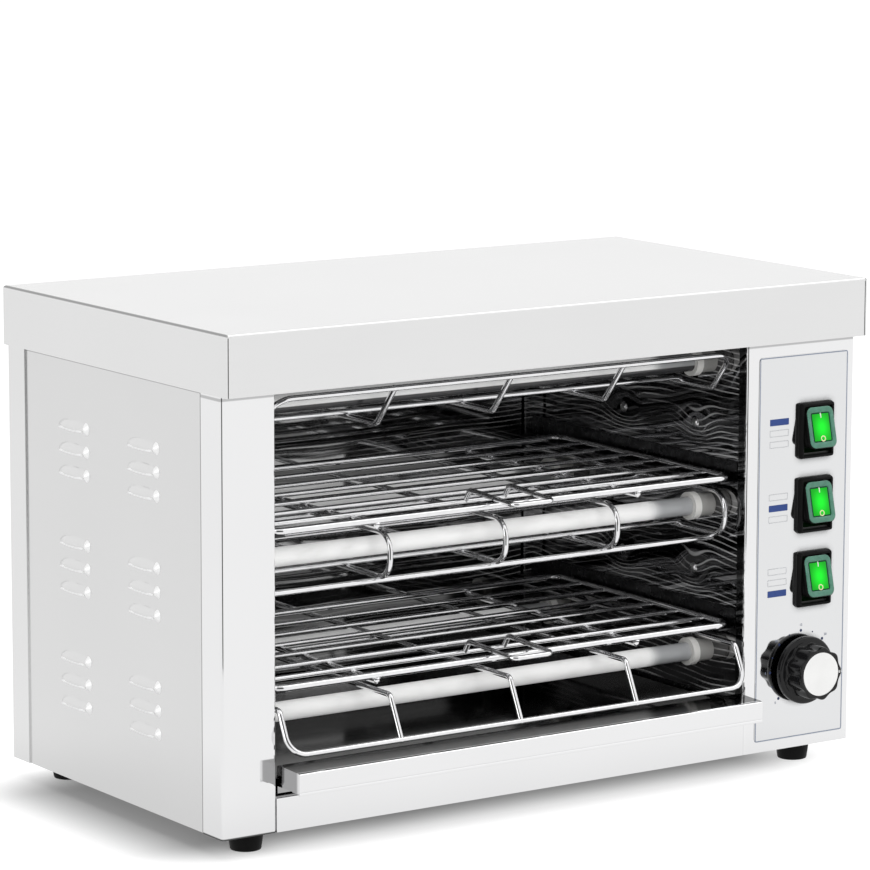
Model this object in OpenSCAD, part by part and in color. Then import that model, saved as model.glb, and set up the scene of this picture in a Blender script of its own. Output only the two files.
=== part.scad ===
// Two-level salamander grill: folded steel casing, mirror-lined oven, three levels of quartz heaters
// behind wire guards, two sliding wire racks, a pull-out crumb tray, three lit rockers and a timer.
// Lengths are millimetres. Inside place(), X runs right from the middle, Y runs back from the
// front plane of the body and Z runs up from the underside of the body.

/* [Casing] */
// Width of the body across its sides
body_w = 477; // [450:1:520]
// Depth of the body from its front plane to its rear face
body_d = 256.5; // [245:0.5:300]
// Height of the body below the lid's skirt
body_h = 266; // [262:1:300]
// Thickness of the casing sheet
sheet = 1; // [0.8:0.1:1.4]
// Inside radius of each fold in the casing sheet
fold_r = 1; // [0.6:0.1:1.6]
// Height of the lid with its skirt
lid_h = 37.5; // [26:0.5:50]
// How far the lid's skirt stands out before the body
lid_front = 9.5; // [4:0.5:15]
// Gap between the lid's skirt and the body's sides and rear
lid_gap = 0.5; // [0.3:0.1:1]
// Open seam at each corner of the lid's skirt
lid_seam = 0.6; // [0.4:0.1:1]
// Width of the corner flanges that lap over the side panels
flange = 22; // [16:1:30]
// How far a side panel reaches in behind each flange
lap = 10; // [6:1:14]
// Width of the fold along the top of a side panel
side_fold = 12; // [8:1:18]
// Height of the turned-up edges of the base
base_edge = 10; // [6:1:16]

/* [Front] */
// Width of the column left of the opening
column_w = 38; // [33:0.5:45]
// Width of the control panel right of the opening
panel_w = 86.5; // [84:0.5:110]
// Depth of the folds that frame the opening
return_d = 9; // [8:1:16]
// Height of the rail below the opening
rail_h = 22; // [18:0.5:28]
// Height of the lip behind the rail's top fold
rail_lip = 8; // [5:0.5:12]

/* [Louvres] */
// Length of a louvre
louvre_len = 39; // [26:1:42]
// How far a louvre stands out of the panel
louvre_out = 3; // [2:0.2:4]
// Radius that the louvre's scoop is swept round
louvre_sweep = 7; // [6:0.5:8]
// Depth of the front column of louvres
louvre_d = 91; // [70:1:95]
// Spacing of the two columns of louvres
louvre_columns = 84; // [60:1:95]
// Height of the lowest louvre
louvre_z = 48.2; // [35:0.2:60]
// Spacing of louvres within a group
louvre_pitch = 14.5; // [12:0.1:18]
// Spacing of the groups of louvres
louvre_groups = 73; // [66:0.2:80]

/* [Oven lining] */
// Thickness of the lining sheet
lining = 0.8; // [0.6:0.1:1.2]
// Space between the back lining and the rear panel
rear_space = 20.7; // [15:0.1:30]
// Height of the reflector above the lid's lower edge
reflector_rise = 3; // [1:0.5:8]
// Height of the turned-up front edge of the reflector
reflector_edge = 14; // [8:1:18]
// Diameter of a rivet's head
rivet_d = 7; // [5:0.5:9]
// Height of a rivet's head
rivet_h = 2; // [1.2:0.2:3]
// Depth of the front rivet
rivet_front = 55; // [30:1:80]
// Spacing of the two rivets in a row
rivet_pitch = 77; // [50:1:110]
// Height of a row of rivets above its rack
rivet_rise = 29; // [18:1:36]

/* [Heaters] */
// Height of the lower tubes
low_tube_z = 62.7; // [60:0.1:66]
// Height of the middle tubes
middle_tube_z = 157.9; // [154:0.1:162]
// Height of the top tubes
top_tube_z = 251.1; // [248:0.1:256]
// Depth of the front tubes
front_tube_d = 40.2; // [36:0.2:50]
// Depth of the rear tubes
rear_tube_d = 194.4; // [170:0.2:205]
// Diameter of a quartz tube
tube_d = 12; // [10:0.1:13]
// Wall of a quartz tube
tube_wall = 1.2; // [0.8:0.1:2]
// Diameter of a ceramic cap's flange
cap_flange_d = 18; // [16:0.5:20]
// Thickness of a ceramic cap's flange
cap_flange = 5; // [3:0.5:7]
// Diameter of a ceramic cap's sleeve
cap_sleeve_d = 15; // [14:0.1:15.5]
// How far a ceramic cap reaches into the oven
cap_in = 17; // [14:0.5:20]
// How far a ceramic cap reaches out behind the lining
cap_out = 10; // [6:0.5:12]
// How deep a tube sits in its cap
tube_seat = 10; // [6:0.5:12]
// Diameter of a terminal stud
stud_d = 4; // [3:0.1:5]
// Length of a terminal stud beyond its cap
stud_out = 9; // [7:0.5:11]

/* [Guards] */
// Diameter of the guard wire
guard_wire = 3.5; // [3:0.1:4]
// Gap between a guard's side wire and the lining
guard_side = 4.75; // [4:0.25:6]
// Radius of the guards' front corners
guard_corner = 12; // [8:0.5:14]
// Radius of the guards' other bends
guard_bend = 4; // [3:0.5:5]
// Spacing of the wires that run back
guard_pitch = 85.5; // [70:0.5:100]
// Depth of the second cross bar
guard_bar_d = 62.9; // [55:0.1:66]
// Spacing of the cross bars
guard_bars = 45; // [40:0.5:46]
// Drop of the top guard below its tubes
top_guard_drop = 16.1; // [13.5:0.1:19]
// Rise of the top guard's front bar above its tubes
top_guard_rise = 8; // [5:0.5:8.5]
// Depth of the top guard's front bar
top_guard_front = 9.8; // [8:0.1:14]
// Depth at which the top guard levels out
top_guard_back = 29.5; // [24:0.5:34]
// Rise of the middle guard above its tubes
middle_guard_rise = 11.3; // [10:0.1:12]
// Drop of the middle guard below its tubes
middle_guard_drop = 16.6; // [15:0.1:20]
// Depth of the middle guard's front
middle_guard_front = 14.8; // [12:0.1:20]
// Depth of the middle guard's lower front bar
middle_guard_bar = 28; // [27:0.5:34]
// Rise of the lower guard above its tubes
low_guard_rise = 11; // [10.8:0.1:13]
// Drop of the lower guard's front bar below its tubes
low_guard_drop = 14.5; // [12:0.5:16]
// How far the lower guard's front bar stands before the body
low_guard_out = 11.3; // [9:0.1:14]
// Depth at which the lower guard levels out
low_guard_back = 1; // [0:0.5:6]
// How far the lower guard lies left of the oven's middle
low_guard_left = 1.75; // [0:0.25:3]
// How much further the lower guard's left end lies
low_guard_more = 1.25; // [0:0.25:1.25]
// Spacing of the lower guard's wires that run back
low_guard_pitch = 88.5; // [70:0.5:100]
// How far the lower guard's middle wire lies left of its own middle
low_guard_skew = 4.5; // [0:0.5:8]

/* [Racks] */
// Height of a rack above the tubes below it
rack_rise = 21.8; // [21:0.1:24]
// Depth of a rack's front wire
rack_front = 10.6; // [8:0.2:14]
// Depth of a rack between its frame wires
rack_d = 187; // [160:1:200]
// Gap between a rack and the lining
rack_side = 3; // [2.5:0.5:6]
// Diameter of a rack's frame wire
frame_wire = 4.5; // [4:0.1:5]
// Diameter of the wires across a rack
grid_wire = 3.2; // [2.6:0.1:3.6]
// Diameter of the wires under a rack
rib_wire = 4; // [3.4:0.1:4.4]
// Number of wires across a rack
grid_count = 6; // [4:1:8]
// Spacing of the two ribs under a rack
rib_pitch = 196; // [150:1:230]
// Radius of a rack's corners
rack_corner = 9; // [6:0.5:14]
// Width of a rack's pull loop
loop_w = 29.7; // [24:0.1:40]
// How far a pull loop stands before the body
loop_out = 15; // [10:0.5:18]
// Height of a pull loop above its rack's frame
loop_rise = 7; // [5:0.5:9]
// Fall of a pull loop towards its front
loop_fall = 2.5; // [0:0.5:4]
// How far the feet of a pull loop lean
loop_lean = 5; // [0:0.5:8]
// Radius of a pull loop's corners
loop_corner = 5; // [3:0.5:9]
// Width of the ledges that carry a rack
ledge_w = 14; // [12:0.5:16]
// Height of the ledges' wall leg
ledge_h = 12; // [8:0.5:16]
// Thickness of a ledge
ledge_t = 1; // [0.8:0.1:1.4]

/* [Crumb tray] */
// Gap between the rail and the underside of the tray
tray_gap = 1.2; // [0.8:0.1:2]
// Gap between the tray and each side of the opening
tray_side = 2; // [1:0.25:4]
// Depth of the tray behind its front wall
tray_d = 222; // [190:1:226]
// Height of the tray's side and rear walls
tray_wall = 9; // [7:0.5:11]
// Thickness of the tray's sheet
tray_sheet = 0.8; // [0.6:0.1:1.2]
// How far the tray's lip stands before the body
lip_out = 22.1; // [16:0.1:26]
// Height of the lip's front face
lip_h = 13.4; // [10:0.1:15]
// Height of the lip's top above the underside of the tray
lip_rise = 17.4; // [15:0.2:19]
// Fall of the lip's top towards its front
lip_fall = 0.8; // [0:0.1:2]
// Depth of the fold under the lip
lip_under = 8; // [5:0.5:12]

/* [Controls] */
// Width of the control label
label_w = 72.4; // [68:0.2:74]
// Height of the control label
label_h = 250; // [240:1:254]
// Gap between the opening and the label
label_inset = 9; // [6:0.25:10]
// Height of the label's lower edge
label_z = 6.5; // [3:0.5:9]
// Thickness of the label
label_t = 0.25; // [0.15:0.05:0.5]
// Radius of the label's corners
label_r = 3; // [2:0.5:5]
// Distance of the switches from the label's left edge
switch_inset = 45.5; // [40:0.5:52]
// Height of the lowest switch
switch_z = 110; // [100:0.5:116]
// Spacing of the switches
switch_pitch = 48.4; // [42:0.2:52]
// Width of a switch's boot
boot_w = 27.4; // [27:0.1:30]
// Height of a switch's boot
boot_h = 36.2; // [36:0.1:40]
// How far a boot stands out of the switch's flange
boot_out = 2.8; // [2:0.1:3]
// How far a boot draws in towards its front
boot_lean = 0.8; // [0.4:0.1:1]
// Radius of a boot's corners
boot_r = 2; // [1.5:0.1:3]
// Thickness of a switch's flange
switch_flange = 1.2; // [0.8:0.1:1.4]
// Width of a rocker's cover
cover_w = 22; // [20:0.1:22]
// Height of a rocker's cover
cover_h = 27; // [25:0.1:27]
// Distance from the rocker's pivot to the cover's face
cover_face = 11.25; // [10.5:0.05:12]
// Wall of a rocker's cover
cover_wall = 1.2; // [0.8:0.1:1.3]
// How far a rocker's cover draws in towards its rear
cover_lean = 1.3; // [0.8:0.1:1.6]
// Radius of a cover's corners
cover_r = 3; // [2:0.1:4]
// Width of a rocker
rocker_w = 17; // [14:0.5:18]
// Height of a rocker
rocker_h = 23; // [20:0.5:23]
// Tilt of a rocker to each side
rocker_tilt = 13; // [9:0.5:13]
// Depth of a rocker's pivot behind the front plane
pivot_d = 3; // [2.5:0.1:3.5]
// Diameter of a rocker's pivot pins
pin_d = 3; // [2:0.1:3.5]
// Depth of a switch behind the front plane
switch_d = 24; // [20:0.5:30]
// Room in a switch's case on each side of the cover
case_side = 1.9; // [1.9:0.1:2.1]
// Room in a switch's case above and below the cover
case_end = 2.5; // [2.4:0.1:2.7]
// Wall of a switch's case
case_wall = 1.5; // [1:0.1:1.6]
// Width of a switch's terminal
blade_w = 6.3; // [4.8:0.1:6.3]
// Thickness of a switch's terminal
blade_t = 0.8; // [0.5:0.1:1]
// Length of a switch's terminal
blade_out = 8; // [6:0.5:10]

/* [Timer] */
// Distance of the timer's axis from the label's left edge
knob_inset = 37; // [32:0.5:40]
// Height of the timer's axis
knob_z = 51.4; // [48:0.2:56]
// Diameter of the knob's skirt
skirt_d = 44; // [40:0.5:46]
// Thickness of the knob's skirt
skirt_t = 4.5; // [3:0.1:6]
// Gap between the label and the knob's skirt
knob_gap = 3; // [2.6:0.1:4]
// Diameter over the knob's lobes
grip_d = 35.5; // [32:0.5:38]
// Depth of the flutes between the lobes
flute = 1.6; // [0.8:0.1:2]
// Number of lobes round the knob
lobes = 9; // [6:1:12]
// Distance of the knob's face from the label
knob_out = 21; // [18:0.2:21.5]
// Diameter of the knob's metal cap
cap_d = 28.4; // [24:0.2:29]
// Thickness of the knob's metal cap
cap_t = 1.4; // [1:0.1:2]
// Diameter of the timer's shaft
shaft_d = 6; // [5:0.1:6.5]
// Diameter of the timer's threaded bush
bush_d = 10; // [8.5:0.1:11]
// Width of the timer's case
timer_w = 44; // [38:0.5:46]
// Depth of the timer's case
timer_d = 30; // [24:0.5:34]
// Width of the timer's nut across its corners
timer_nut_d = 16; // [14:0.5:18]
// Thickness of the knob's face before the end of the shaft
knob_face = 2; // [1:0.1:3]

/* [Base and rear] */
// Height of a foot
foot_h = 13; // [10:0.5:18]
// Diameter of a foot at the body
foot_top_d = 22; // [20:0.5:26]
// Diameter of a foot at the floor
foot_d = 19; // [16:0.5:20]
// Distance of the feet from the body's sides
foot_side = 29; // [24:0.5:29]
// Distance of the feet from the front and the rear
foot_end = 21; // [18:0.5:30]
// Diameter of the screws
screw_d = 4; // [3:0.1:5]
// Diameter of the screws' heads, and of their nuts across the corners
head_d = 8; // [6:0.1:9]
// Height of the screws' heads
head_h = 2; // [1.4:0.1:3]
// Height of the nuts
nut_h = 3.2; // [2.4:0.1:4]
// Distance of the cable gland from the right side
gland_side = 40; // [30:1:55]
// Height of the cable gland
gland_z = 38; // [30:1:60]
// Diameter of the cable gland's thread
gland_d = 16; // [14:0.5:18]
// Diameter of the cable's passage
cable_d = 8; // [6:0.5:9]
// How far the cable gland stands behind the rear panel
gland_out = 16; // [12:0.5:20]
// Width of the cable gland's nuts across their corners
gland_hex = 22.4; // [20:0.1:26]
// Wall of the cable gland round the cable
gland_wall = 2; // [1.5:0.1:3]
// Distance of the terminal block from the rear
block_inset = 60; // [45:1:80]
// Spacing of the terminal block's ways
block_pitch = 12; // [9:0.5:14]
// Depth of the terminal block
block_d = 20; // [16:0.5:26]
// Height of the terminal block
block_h = 16; // [12:0.5:20]
// Diameter of the terminal block's holes
block_hole = 4; // [3:0.1:5]

/* [Hidden] */
LEVELS = ["lower", "middle", "top"];
SWITCHES = ["lower", "middle", "upper"];
RACKS = ["lower", "upper"];
$fn = 48;

// Clearances and small shared sizes
running = 0.05;
seat_gap = 0.3;
cut_gap = 0.2;
weld = 0.7;
bend_swell = 0.06;
bend_seat = 0.3;
past = 1;
arc_steps = 5;
scoop_steps = 8;
lobe_steps = 10;

// Faces of the casing, the opening and the lining
half_w = body_w / 2;
wall_top = body_h + lid_h - sheet;
panel_top = wall_top - fold_r;
open_l = column_w - half_w;
open_r = half_w - panel_w;
open_c = (open_l + open_r) / 2;
liner_l = open_l - sheet;
liner_r = open_r + sheet;
oven_w = liner_r - liner_l;
back_d = body_d - sheet - rear_space - lining;
ceiling = body_h + reflector_rise;
inner_side = half_w - 2 * sheet;

// Heater levels, racks and controls
tube_z = [low_tube_z, middle_tube_z, top_tube_z];
tube_y = [front_tube_d, rear_tube_d];
rack_z = [low_tube_z + rack_rise, middle_tube_z + rack_rise];
tray_z = rail_h + tray_gap;
label_l = open_r + label_inset;
switch_x = label_l + switch_inset;
switch_zs = [for (k = [0 : 2]) switch_z + k * switch_pitch];
knob_x = label_l + knob_inset;
case_w = cover_w + 2 * case_side;
case_h = cover_h + 2 * case_end;
gland_x = half_w - gland_side;
foot_x = half_w - foot_side;
foot_y = [foot_end, body_d - foot_end];
liner_hole = cap_sleeve_d + 2 * running;

// The frame's origin is the middle of the bounding box, on the floor
front_reach = max(lip_out, loop_out + grid_wire / 2, knob_out + label_t + cap_t / 4);
rear_reach = body_d + gland_out;
front_y = (front_reach - rear_reach) / 2;

module place() {
    translate([0, front_y, foot_h]) children();
}

// Plane geometry for folded sheet
function unit(v) = v / norm(v);
function left_of(v) = [-v[1], v[0]];
function turning(a, b) = a[0] * b[1] - a[1] * b[0];
function heading(p, i) = unit(p[i + 1] - p[i]);
function backwards(p) = [for (i = [len(p) - 1 : -1 : 0]) p[i]];

// The path moved to its left by t, with mitred corners
function beside(p, t) = [
    for (i = [0 : len(p) - 1])
        let (a = left_of(heading(p, max(i - 1, 0))), b = left_of(heading(p, min(i, len(p) - 2))))
        p[i] + t * (a + b) / (1 + a * b)
];

// Points of the arc of radius r that rounds the corner at b
function corner(a, b, c, r) =
    let (
        u = unit(a - b),
        v = unit(c - b),
        half = acos(u * v) / 2,
        centre = b + unit(u + v) * r / sin(half),
        from = b + u * r / tan(half) - centre,
        sweep = sign(turning(b - a, c - b)) * (180 - 2 * half)
    )
    [
        for (k = [0 : arc_steps])
            let (t = sweep * k / arc_steps)
            centre + [from[0] * cos(t) - from[1] * sin(t), from[0] * sin(t) + from[1] * cos(t)]
    ];

function rounded(p, left_r, right_r) = [
    for (i = [0 : len(p) - 1])
        each i == 0 || i == len(p) - 1 ? [p[i]]
            : corner(p[i - 1], p[i], p[i + 1],
                turning(p[i] - p[i - 1], p[i + 1] - p[i]) > 0 ? left_r : right_r)
];

// Section of a sheet of thickness t that lies to the left of the path
function folded(p, t) = concat(
    rounded(p, fold_r + t, fold_r),
    backwards(rounded(beside(p, t), fold_r, fold_r + t))
);

// Outline of a rectangle with round corners, about the origin
function round_box(w, h, r) = [
    for (q = [0 : 3], k = [0 : arc_steps])
        let (t = 90 * (q + k / arc_steps))
        [
            (q == 0 || q == 3 ? 1 : -1) * (w / 2 - r) + r * cos(t),
            (q < 2 ? 1 : -1) * (h / 2 - r) + r * sin(t)
        ]
];

// Extrusions: a Y-Z section along X, an X-Z outline along Y
module along_x(x0, x1) {
    translate([x0, 0, 0]) rotate([90, 0, 90]) linear_extrude(x1 - x0) children();
}

module along_y(y0, y1) {
    translate([0, y1, 0]) rotate([90, 0, 0]) linear_extrude(y1 - y0) children();
}

module span(x, y, z) {
    translate([x[0], y[0], z[0]]) cube([x[1] - x[0], y[1] - y[0], z[1] - z[0]]);
}

module rod_x(x0, x1, y, z, d) {
    translate([x0, y, z]) rotate([0, 90, 0]) cylinder(d = d, h = x1 - x0);
}

module rod_y(x, y0, y1, z, d) {
    translate([x, y1, z]) rotate([90, 0, 0]) cylinder(d = d, h = y1 - y0);
}

// Bent wire
function setback(p, i, r) = r * tan(acos(heading(p, i - 1) * heading(p, i)) / 2);
function across(u) = unit(cross(u, abs(u[2]) < 0.9 ? [0, 0, 1] : [1, 0, 0]));

module aligned(o, x, y, z) {
    multmatrix([
        [x[0], y[0], z[0], o[0]],
        [x[1], y[1], z[1], o[1]],
        [x[2], y[2], z[2], o[2]],
        [0, 0, 0, 1]
    ]) children();
}

module straight(a, b, d) {
    u = unit(b - a);
    x = across(u);
    aligned(a, x, cross(u, x), u) cylinder(d = d, h = norm(b - a));
}

module bend(p, u, v, r, d) {
    turn = acos(u * v);
    n = unit(v - u * (u * v));
    centre = p - u * r * tan(turn / 2) + n * r;
    aligned(centre, -n, u, cross(-n, u)) rotate_extrude(angle = turn) translate([r, 0]) circle(d = d);
}

// A wire through the points p, with the bend radii r at the points between its ends
module wire(p, r, d) {
    n = len(p) - 1;
    for (i = [0 : n - 1]) {
        u = heading(p, i);
        start = i == 0 ? 0 : setback(p, i, r[i - 1]) - bend_seat;
        stop = i == n - 1 ? 0 : setback(p, i + 1, r[i]) - bend_seat;
        straight(p[i] + start * u, p[i + 1] - stop * u, d);
    }
    for (i = [1 : n - 1])
        bend(p[i], heading(p, i - 1), heading(p, i), r[i - 1], d + bend_swell);
}

// Casing
module lid_block(side, front, rear, top, r) {
    w = half_w + side;
    intersection() {
        along_y(-front, body_d + rear)
            polygon(rounded([[-w, body_h - past], [-w, top], [w, top], [w, body_h - past]], r, r));
        along_x(-w, w)
            polygon(rounded([
                [-front, body_h - past], [-front, top], [body_d + rear, top], [body_d + rear, body_h - past]
            ], r, r));
    }
}

module top_cover() place() color("gainsboro") {
    out = lid_gap + sheet;
    difference() {
        intersection() {
            lid_block(out, lid_front, out, wall_top + sheet, fold_r + sheet);
            span([-body_w, body_w], [-body_d, 2 * body_d], [body_h, 2 * body_h]);
        }
        lid_block(lid_gap, lid_front - sheet, lid_gap, wall_top, fold_r);
        for (turn = [0, 1], y = [-lid_front, body_d + lid_gap])
            mirror([turn, 0, 0]) span(
                [half_w + lid_gap - lid_seam, half_w + lid_gap],
                [y - past, y + sheet + past],
                [body_h - past, wall_top - fold_r]
            );
    }
}

module left_column() place() color("whitesmoke") {
    linear_extrude(panel_top)
        polygon(folded([[-half_w, flange], [-half_w, 0], [open_l, 0], [open_l, return_d]], sheet));
}

module control_panel() place() color("whitesmoke") {
    difference() {
        linear_extrude(panel_top)
            polygon(folded([[open_r, return_d], [open_r, 0], [half_w, 0], [half_w, flange]], sheet));
        control_cuts([-past, 2 * sheet]);
    }
}

// Cut-outs for the switches and the timer's bush, between two depths
module control_cuts(y) {
    for (z = switch_zs)
        translate([switch_x, 0, z]) along_y(y[0], y[1])
            square([case_w + 2 * cut_gap, case_h + 2 * cut_gap], center = true);
    rod_y(knob_x, y[0], y[1], knob_z, bush_d + 2 * cut_gap);
}

module lower_rail() place() color("whitesmoke") {
    along_x(open_l, open_r)
        polygon(folded([[return_d, rail_h - rail_lip], [return_d, rail_h], [0, rail_h], [0, 0]], sheet));
}

// Scoop of one louvre, open below, swept about an axis behind the panel's outer face
module louvre_hood() {
    sink = louvre_sweep - louvre_out;
    end_r = sink - sheet / 2;
    crest = [
        for (k = [-scoop_steps : scoop_steps])
            let (t = k / scoop_steps)
            [end_r + (louvre_sweep - end_r) * (1 - pow(abs(t), 3)), t * louvre_len / 2]
    ];
    shell = concat(crest, backwards([for (q = crest) [q[0] - sheet, q[1]]]));
    intersection() {
        translate([sink, 0, 0]) rotate([90, 0, 180])
            rotate_extrude(angle = acos((end_r + sheet / 4) / louvre_sweep)) polygon(shell);
        span([-louvre_sweep, sheet], [-louvre_len, louvre_len], [-louvre_sweep, louvre_sweep]);
    }
}

module at_louvres() {
    for (column = [0, 1], group = [0 : 2], slat = [0 : 2])
        translate([
            sheet - half_w,
            louvre_d + column * louvre_columns,
            louvre_z + group * louvre_groups + slat * louvre_pitch
        ]) children();
}

module side_panel() {
    face = half_w - sheet;
    slot_len = louvre_len - 3 * louvre_out;
    difference() {
        along_y(flange - lap, body_d - flange + lap)
            polygon(folded([[side_fold - face, wall_top], [-face, wall_top], [-face, 0]], sheet));
        at_louvres() span([-past, 2 * sheet], [-slot_len / 2, slot_len / 2], [0, louvre_out]);
    }
    at_louvres() louvre_hood();
}

module left_side_panel() place() color("lightgray") side_panel();

module right_side_panel() place() color("lightgray") mirror([1, 0, 0]) side_panel();

module rear_panel() place() color("lightgray") {
    difference() {
        linear_extrude(panel_top)
            polygon(folded([
                [half_w, body_d - flange], [half_w, body_d], [-half_w, body_d], [-half_w, body_d - flange]
            ], sheet));
        rod_y(gland_x, body_d - 2 * sheet, body_d + past, gland_z, gland_d + 2 * running);
        at_rear_screws() rod_y(0, -2 * sheet, past, 0, screw_d + 2 * running);
    }
}

module at_rear_screws() {
    for (x = [-1, 1], z = [base_edge / 2, body_h - side_fold])
        translate([x * (half_w - flange), body_d, z]) children();
}

module base_plate() place() color("lightgray") {
    w = inner_side;
    difference() {
        along_y(sheet, body_d - sheet)
            polygon(folded([[-w, base_edge], [-w, 0], [w, 0], [w, base_edge]], sheet));
        for (x = [liner_l, open_r])
            span([x - cut_gap, x + sheet + cut_gap], [0, return_d + cut_gap], [-past, 2 * sheet]);
        at_feet() translate([0, 0, -past]) cylinder(d = screw_d + 2 * running, h = sheet + 2 * past);
    }
}

module at_feet() {
    for (x = [-foot_x, foot_x], y = foot_y) translate([x, y, 0]) children();
}

// Oven lining
module side_liner(x) {
    difference() {
        span([x, x + lining], [sheet + 2 * fold_r, back_d], [sheet, ceiling]);
        for (y = tube_y, z = tube_z) rod_x(x - past, x + lining + past, y, z, liner_hole);
    }
}

module left_liner() place() color("dimgray") side_liner(liner_l - lining);

module right_liner() place() color("dimgray") side_liner(liner_r);

module back_liner() place() color("dimgray") {
    span([liner_l - lining, liner_r + lining], [back_d, back_d + lining], [sheet, ceiling]);
}

module top_reflector() place() color("dimgray") {
    xs = [liner_l - lining, liner_r + lining];
    difference() {
        along_x(xs[0], xs[1])
            polygon(folded([
                [back_d + lining, ceiling], [sheet, ceiling], [sheet, ceiling + reflector_edge]
            ], -lining));
        for (x = [[xs[0] - past, open_l + cut_gap], [open_r - cut_gap, xs[1] + past]])
            span(x, [0, return_d + cut_gap], [0, panel_top]);
    }
}

// Angle ledges along both side walls, with their tops at height z
module ledges(z) {
    for (side = [0, 1])
        translate([open_c, 0, 0]) mirror([side, 0, 0])
            along_y(return_d + sheet, back_d)
                polygon([
                    [-oven_w / 2, z - ledge_t], [ledge_w - oven_w / 2, z - ledge_t],
                    [ledge_w - oven_w / 2, z], [ledge_t - oven_w / 2, z],
                    [ledge_t - oven_w / 2, z + ledge_h], [-oven_w / 2, z + ledge_h]
                ]);
}

module tray_runners() place() color("silver") ledges(tray_z - seat_gap);

module rack_runners(k) place() color("gray") ledges(rack_z[k] - frame_wire / 2 - seat_gap);

module liner_rivets() place() color("silver") {
    for (side = [0, 1], z = rack_z, k = [0, 1])
        translate([open_c, rivet_front + k * rivet_pitch, z + rivet_rise])
            mirror([side, 0, 0]) translate([-oven_w / 2, 0, 0]) rivet_head();
}

// Domed head with its foot on the plane x = 0
module rivet_head() {
    r = (rivet_d * rivet_d / 4 + rivet_h * rivet_h) / (2 * rivet_h);
    intersection() {
        translate([rivet_h - r, 0, 0]) sphere(r = r);
        span([0, rivet_h + past], [-rivet_d, rivet_d], [-rivet_d, rivet_d]);
    }
}

// Wire guards before the heaters
guard_ends = [liner_l + guard_side + guard_wire / 2, liner_r - guard_side - guard_wire / 2];
guard_xs = [for (k = [-1 : 1]) open_c + k * guard_pitch];
guard_ys = [for (y = [guard_bar_d : guard_bars : rear_tube_d - cap_flange_d]) y];

module guard_cross_bars(ends, z) {
    for (y = guard_ys) rod_x(ends[0], ends[1], y, z, guard_wire);
}

// A guard between two ends that runs back level at height z, with wires at xs and its front bar at
// [y, z] = bar
module level_guard(ends, xs, z, level_d, bar, bar_side) {
    wire([
        [ends[0], back_d, z], [ends[0], level_d, z], [ends[0], bar[0], bar[1]],
        [ends[1], bar[0], bar[1]], [ends[1], level_d, z], [ends[1], back_d, z]
    ], [guard_bend, guard_corner, guard_corner, guard_bend], guard_wire);
    for (x = xs)
        wire([[x, back_d, z], [x, level_d, z], [x, bar[0], bar[1]]], [guard_bend], guard_wire);
    guard_cross_bars(ends, z + bar_side * (guard_wire - weld));
}

module top_guard() place() color("silver") {
    bar = [top_guard_front, top_tube_z + top_guard_rise];
    level_guard(guard_ends, guard_xs, top_tube_z - top_guard_drop, top_guard_back, bar, 1);
}

module lower_guard() place() color("silver") {
    bar = [-low_guard_out, low_tube_z - low_guard_drop];
    ends = [guard_ends[0] - low_guard_left - low_guard_more, guard_ends[1] - low_guard_left];
    middle = open_c - low_guard_left - low_guard_skew;
    xs = [for (k = [-1 : 1]) middle + k * low_guard_pitch];
    level_guard(ends, xs, low_tube_z + low_guard_rise, low_guard_back, bar, -1);
}

module middle_guard() place() color("silver") {
    over = middle_tube_z + middle_guard_rise;
    under = middle_tube_z - middle_guard_drop;
    nose = (over - under) / 2 - guard_wire / 2;
    for (x = concat([guard_ends[0]], guard_xs, [guard_ends[1]]))
        wire([
            [x, back_d, over], [x, middle_guard_front, over],
            [x, middle_guard_front, under], [x, back_d, under]
        ], [nose, nose], guard_wire);
    rod_x(guard_ends[0], guard_ends[1], middle_guard_bar, under - guard_wire + weld, guard_wire);
    guard_cross_bars(guard_ends, over - guard_wire + weld);
    guard_cross_bars(guard_ends, under + guard_wire - weld);
}

// Heaters
module quartz_tube(y, z) place() color("white") {
    difference() {
        rod_x(liner_l + cap_in - tube_seat, liner_r - cap_in + tube_seat, y, z, tube_d);
        rod_x(liner_l, liner_r, y, z, tube_d - 2 * tube_wall);
    }
}

// Caps at both ends of the tubes of one level
module ceramic_caps(k) place() color("ivory") {
    for (side = [0, 1], y = tube_y)
        translate([open_c, y, tube_z[k]]) mirror([side, 0, 0]) translate([-oven_w / 2, 0, 0]) ceramic_cap();
}

// One cap on the X axis, with the lining's face at x = 0 and the oven towards +X
module ceramic_cap() {
    difference() {
        union() {
            rod_x(-lining - cap_out, cap_in - cap_flange / 2, 0, 0, cap_sleeve_d);
            rod_x(cap_in - cap_flange, cap_in, 0, 0, cap_flange_d);
        }
        rod_x(cap_in - tube_seat - running, cap_in + past, 0, 0, tube_d + 2 * running);
        rod_x(-lining - cap_out - past, cap_in, 0, 0, stud_d + 2 * running);
    }
}

module heating_coils() place() color("dimgray") {
    inset = cap_in - tube_seat + seat_gap;
    for (y = tube_y, z = tube_z)
        rod_x(liner_l + inset, liner_r - inset, y, z, tube_d - 2 * tube_wall - 2 * seat_gap);
}

module terminal_studs() place() color("goldenrod") {
    end = lining + cap_out + stud_out;
    for (side = [0, 1], y = tube_y, z = tube_z)
        translate([open_c, y, z]) mirror([side, 0, 0]) translate([-oven_w / 2, 0, 0]) {
            rod_x(-end, cap_in - tube_seat, 0, 0, stud_d);
            translate([-lining - cap_out - stud_d, 0, 0]) rotate([0, 90, 0])
                cylinder(d = 2 * stud_d, h = stud_d, $fn = 6);
        }
}

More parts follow.
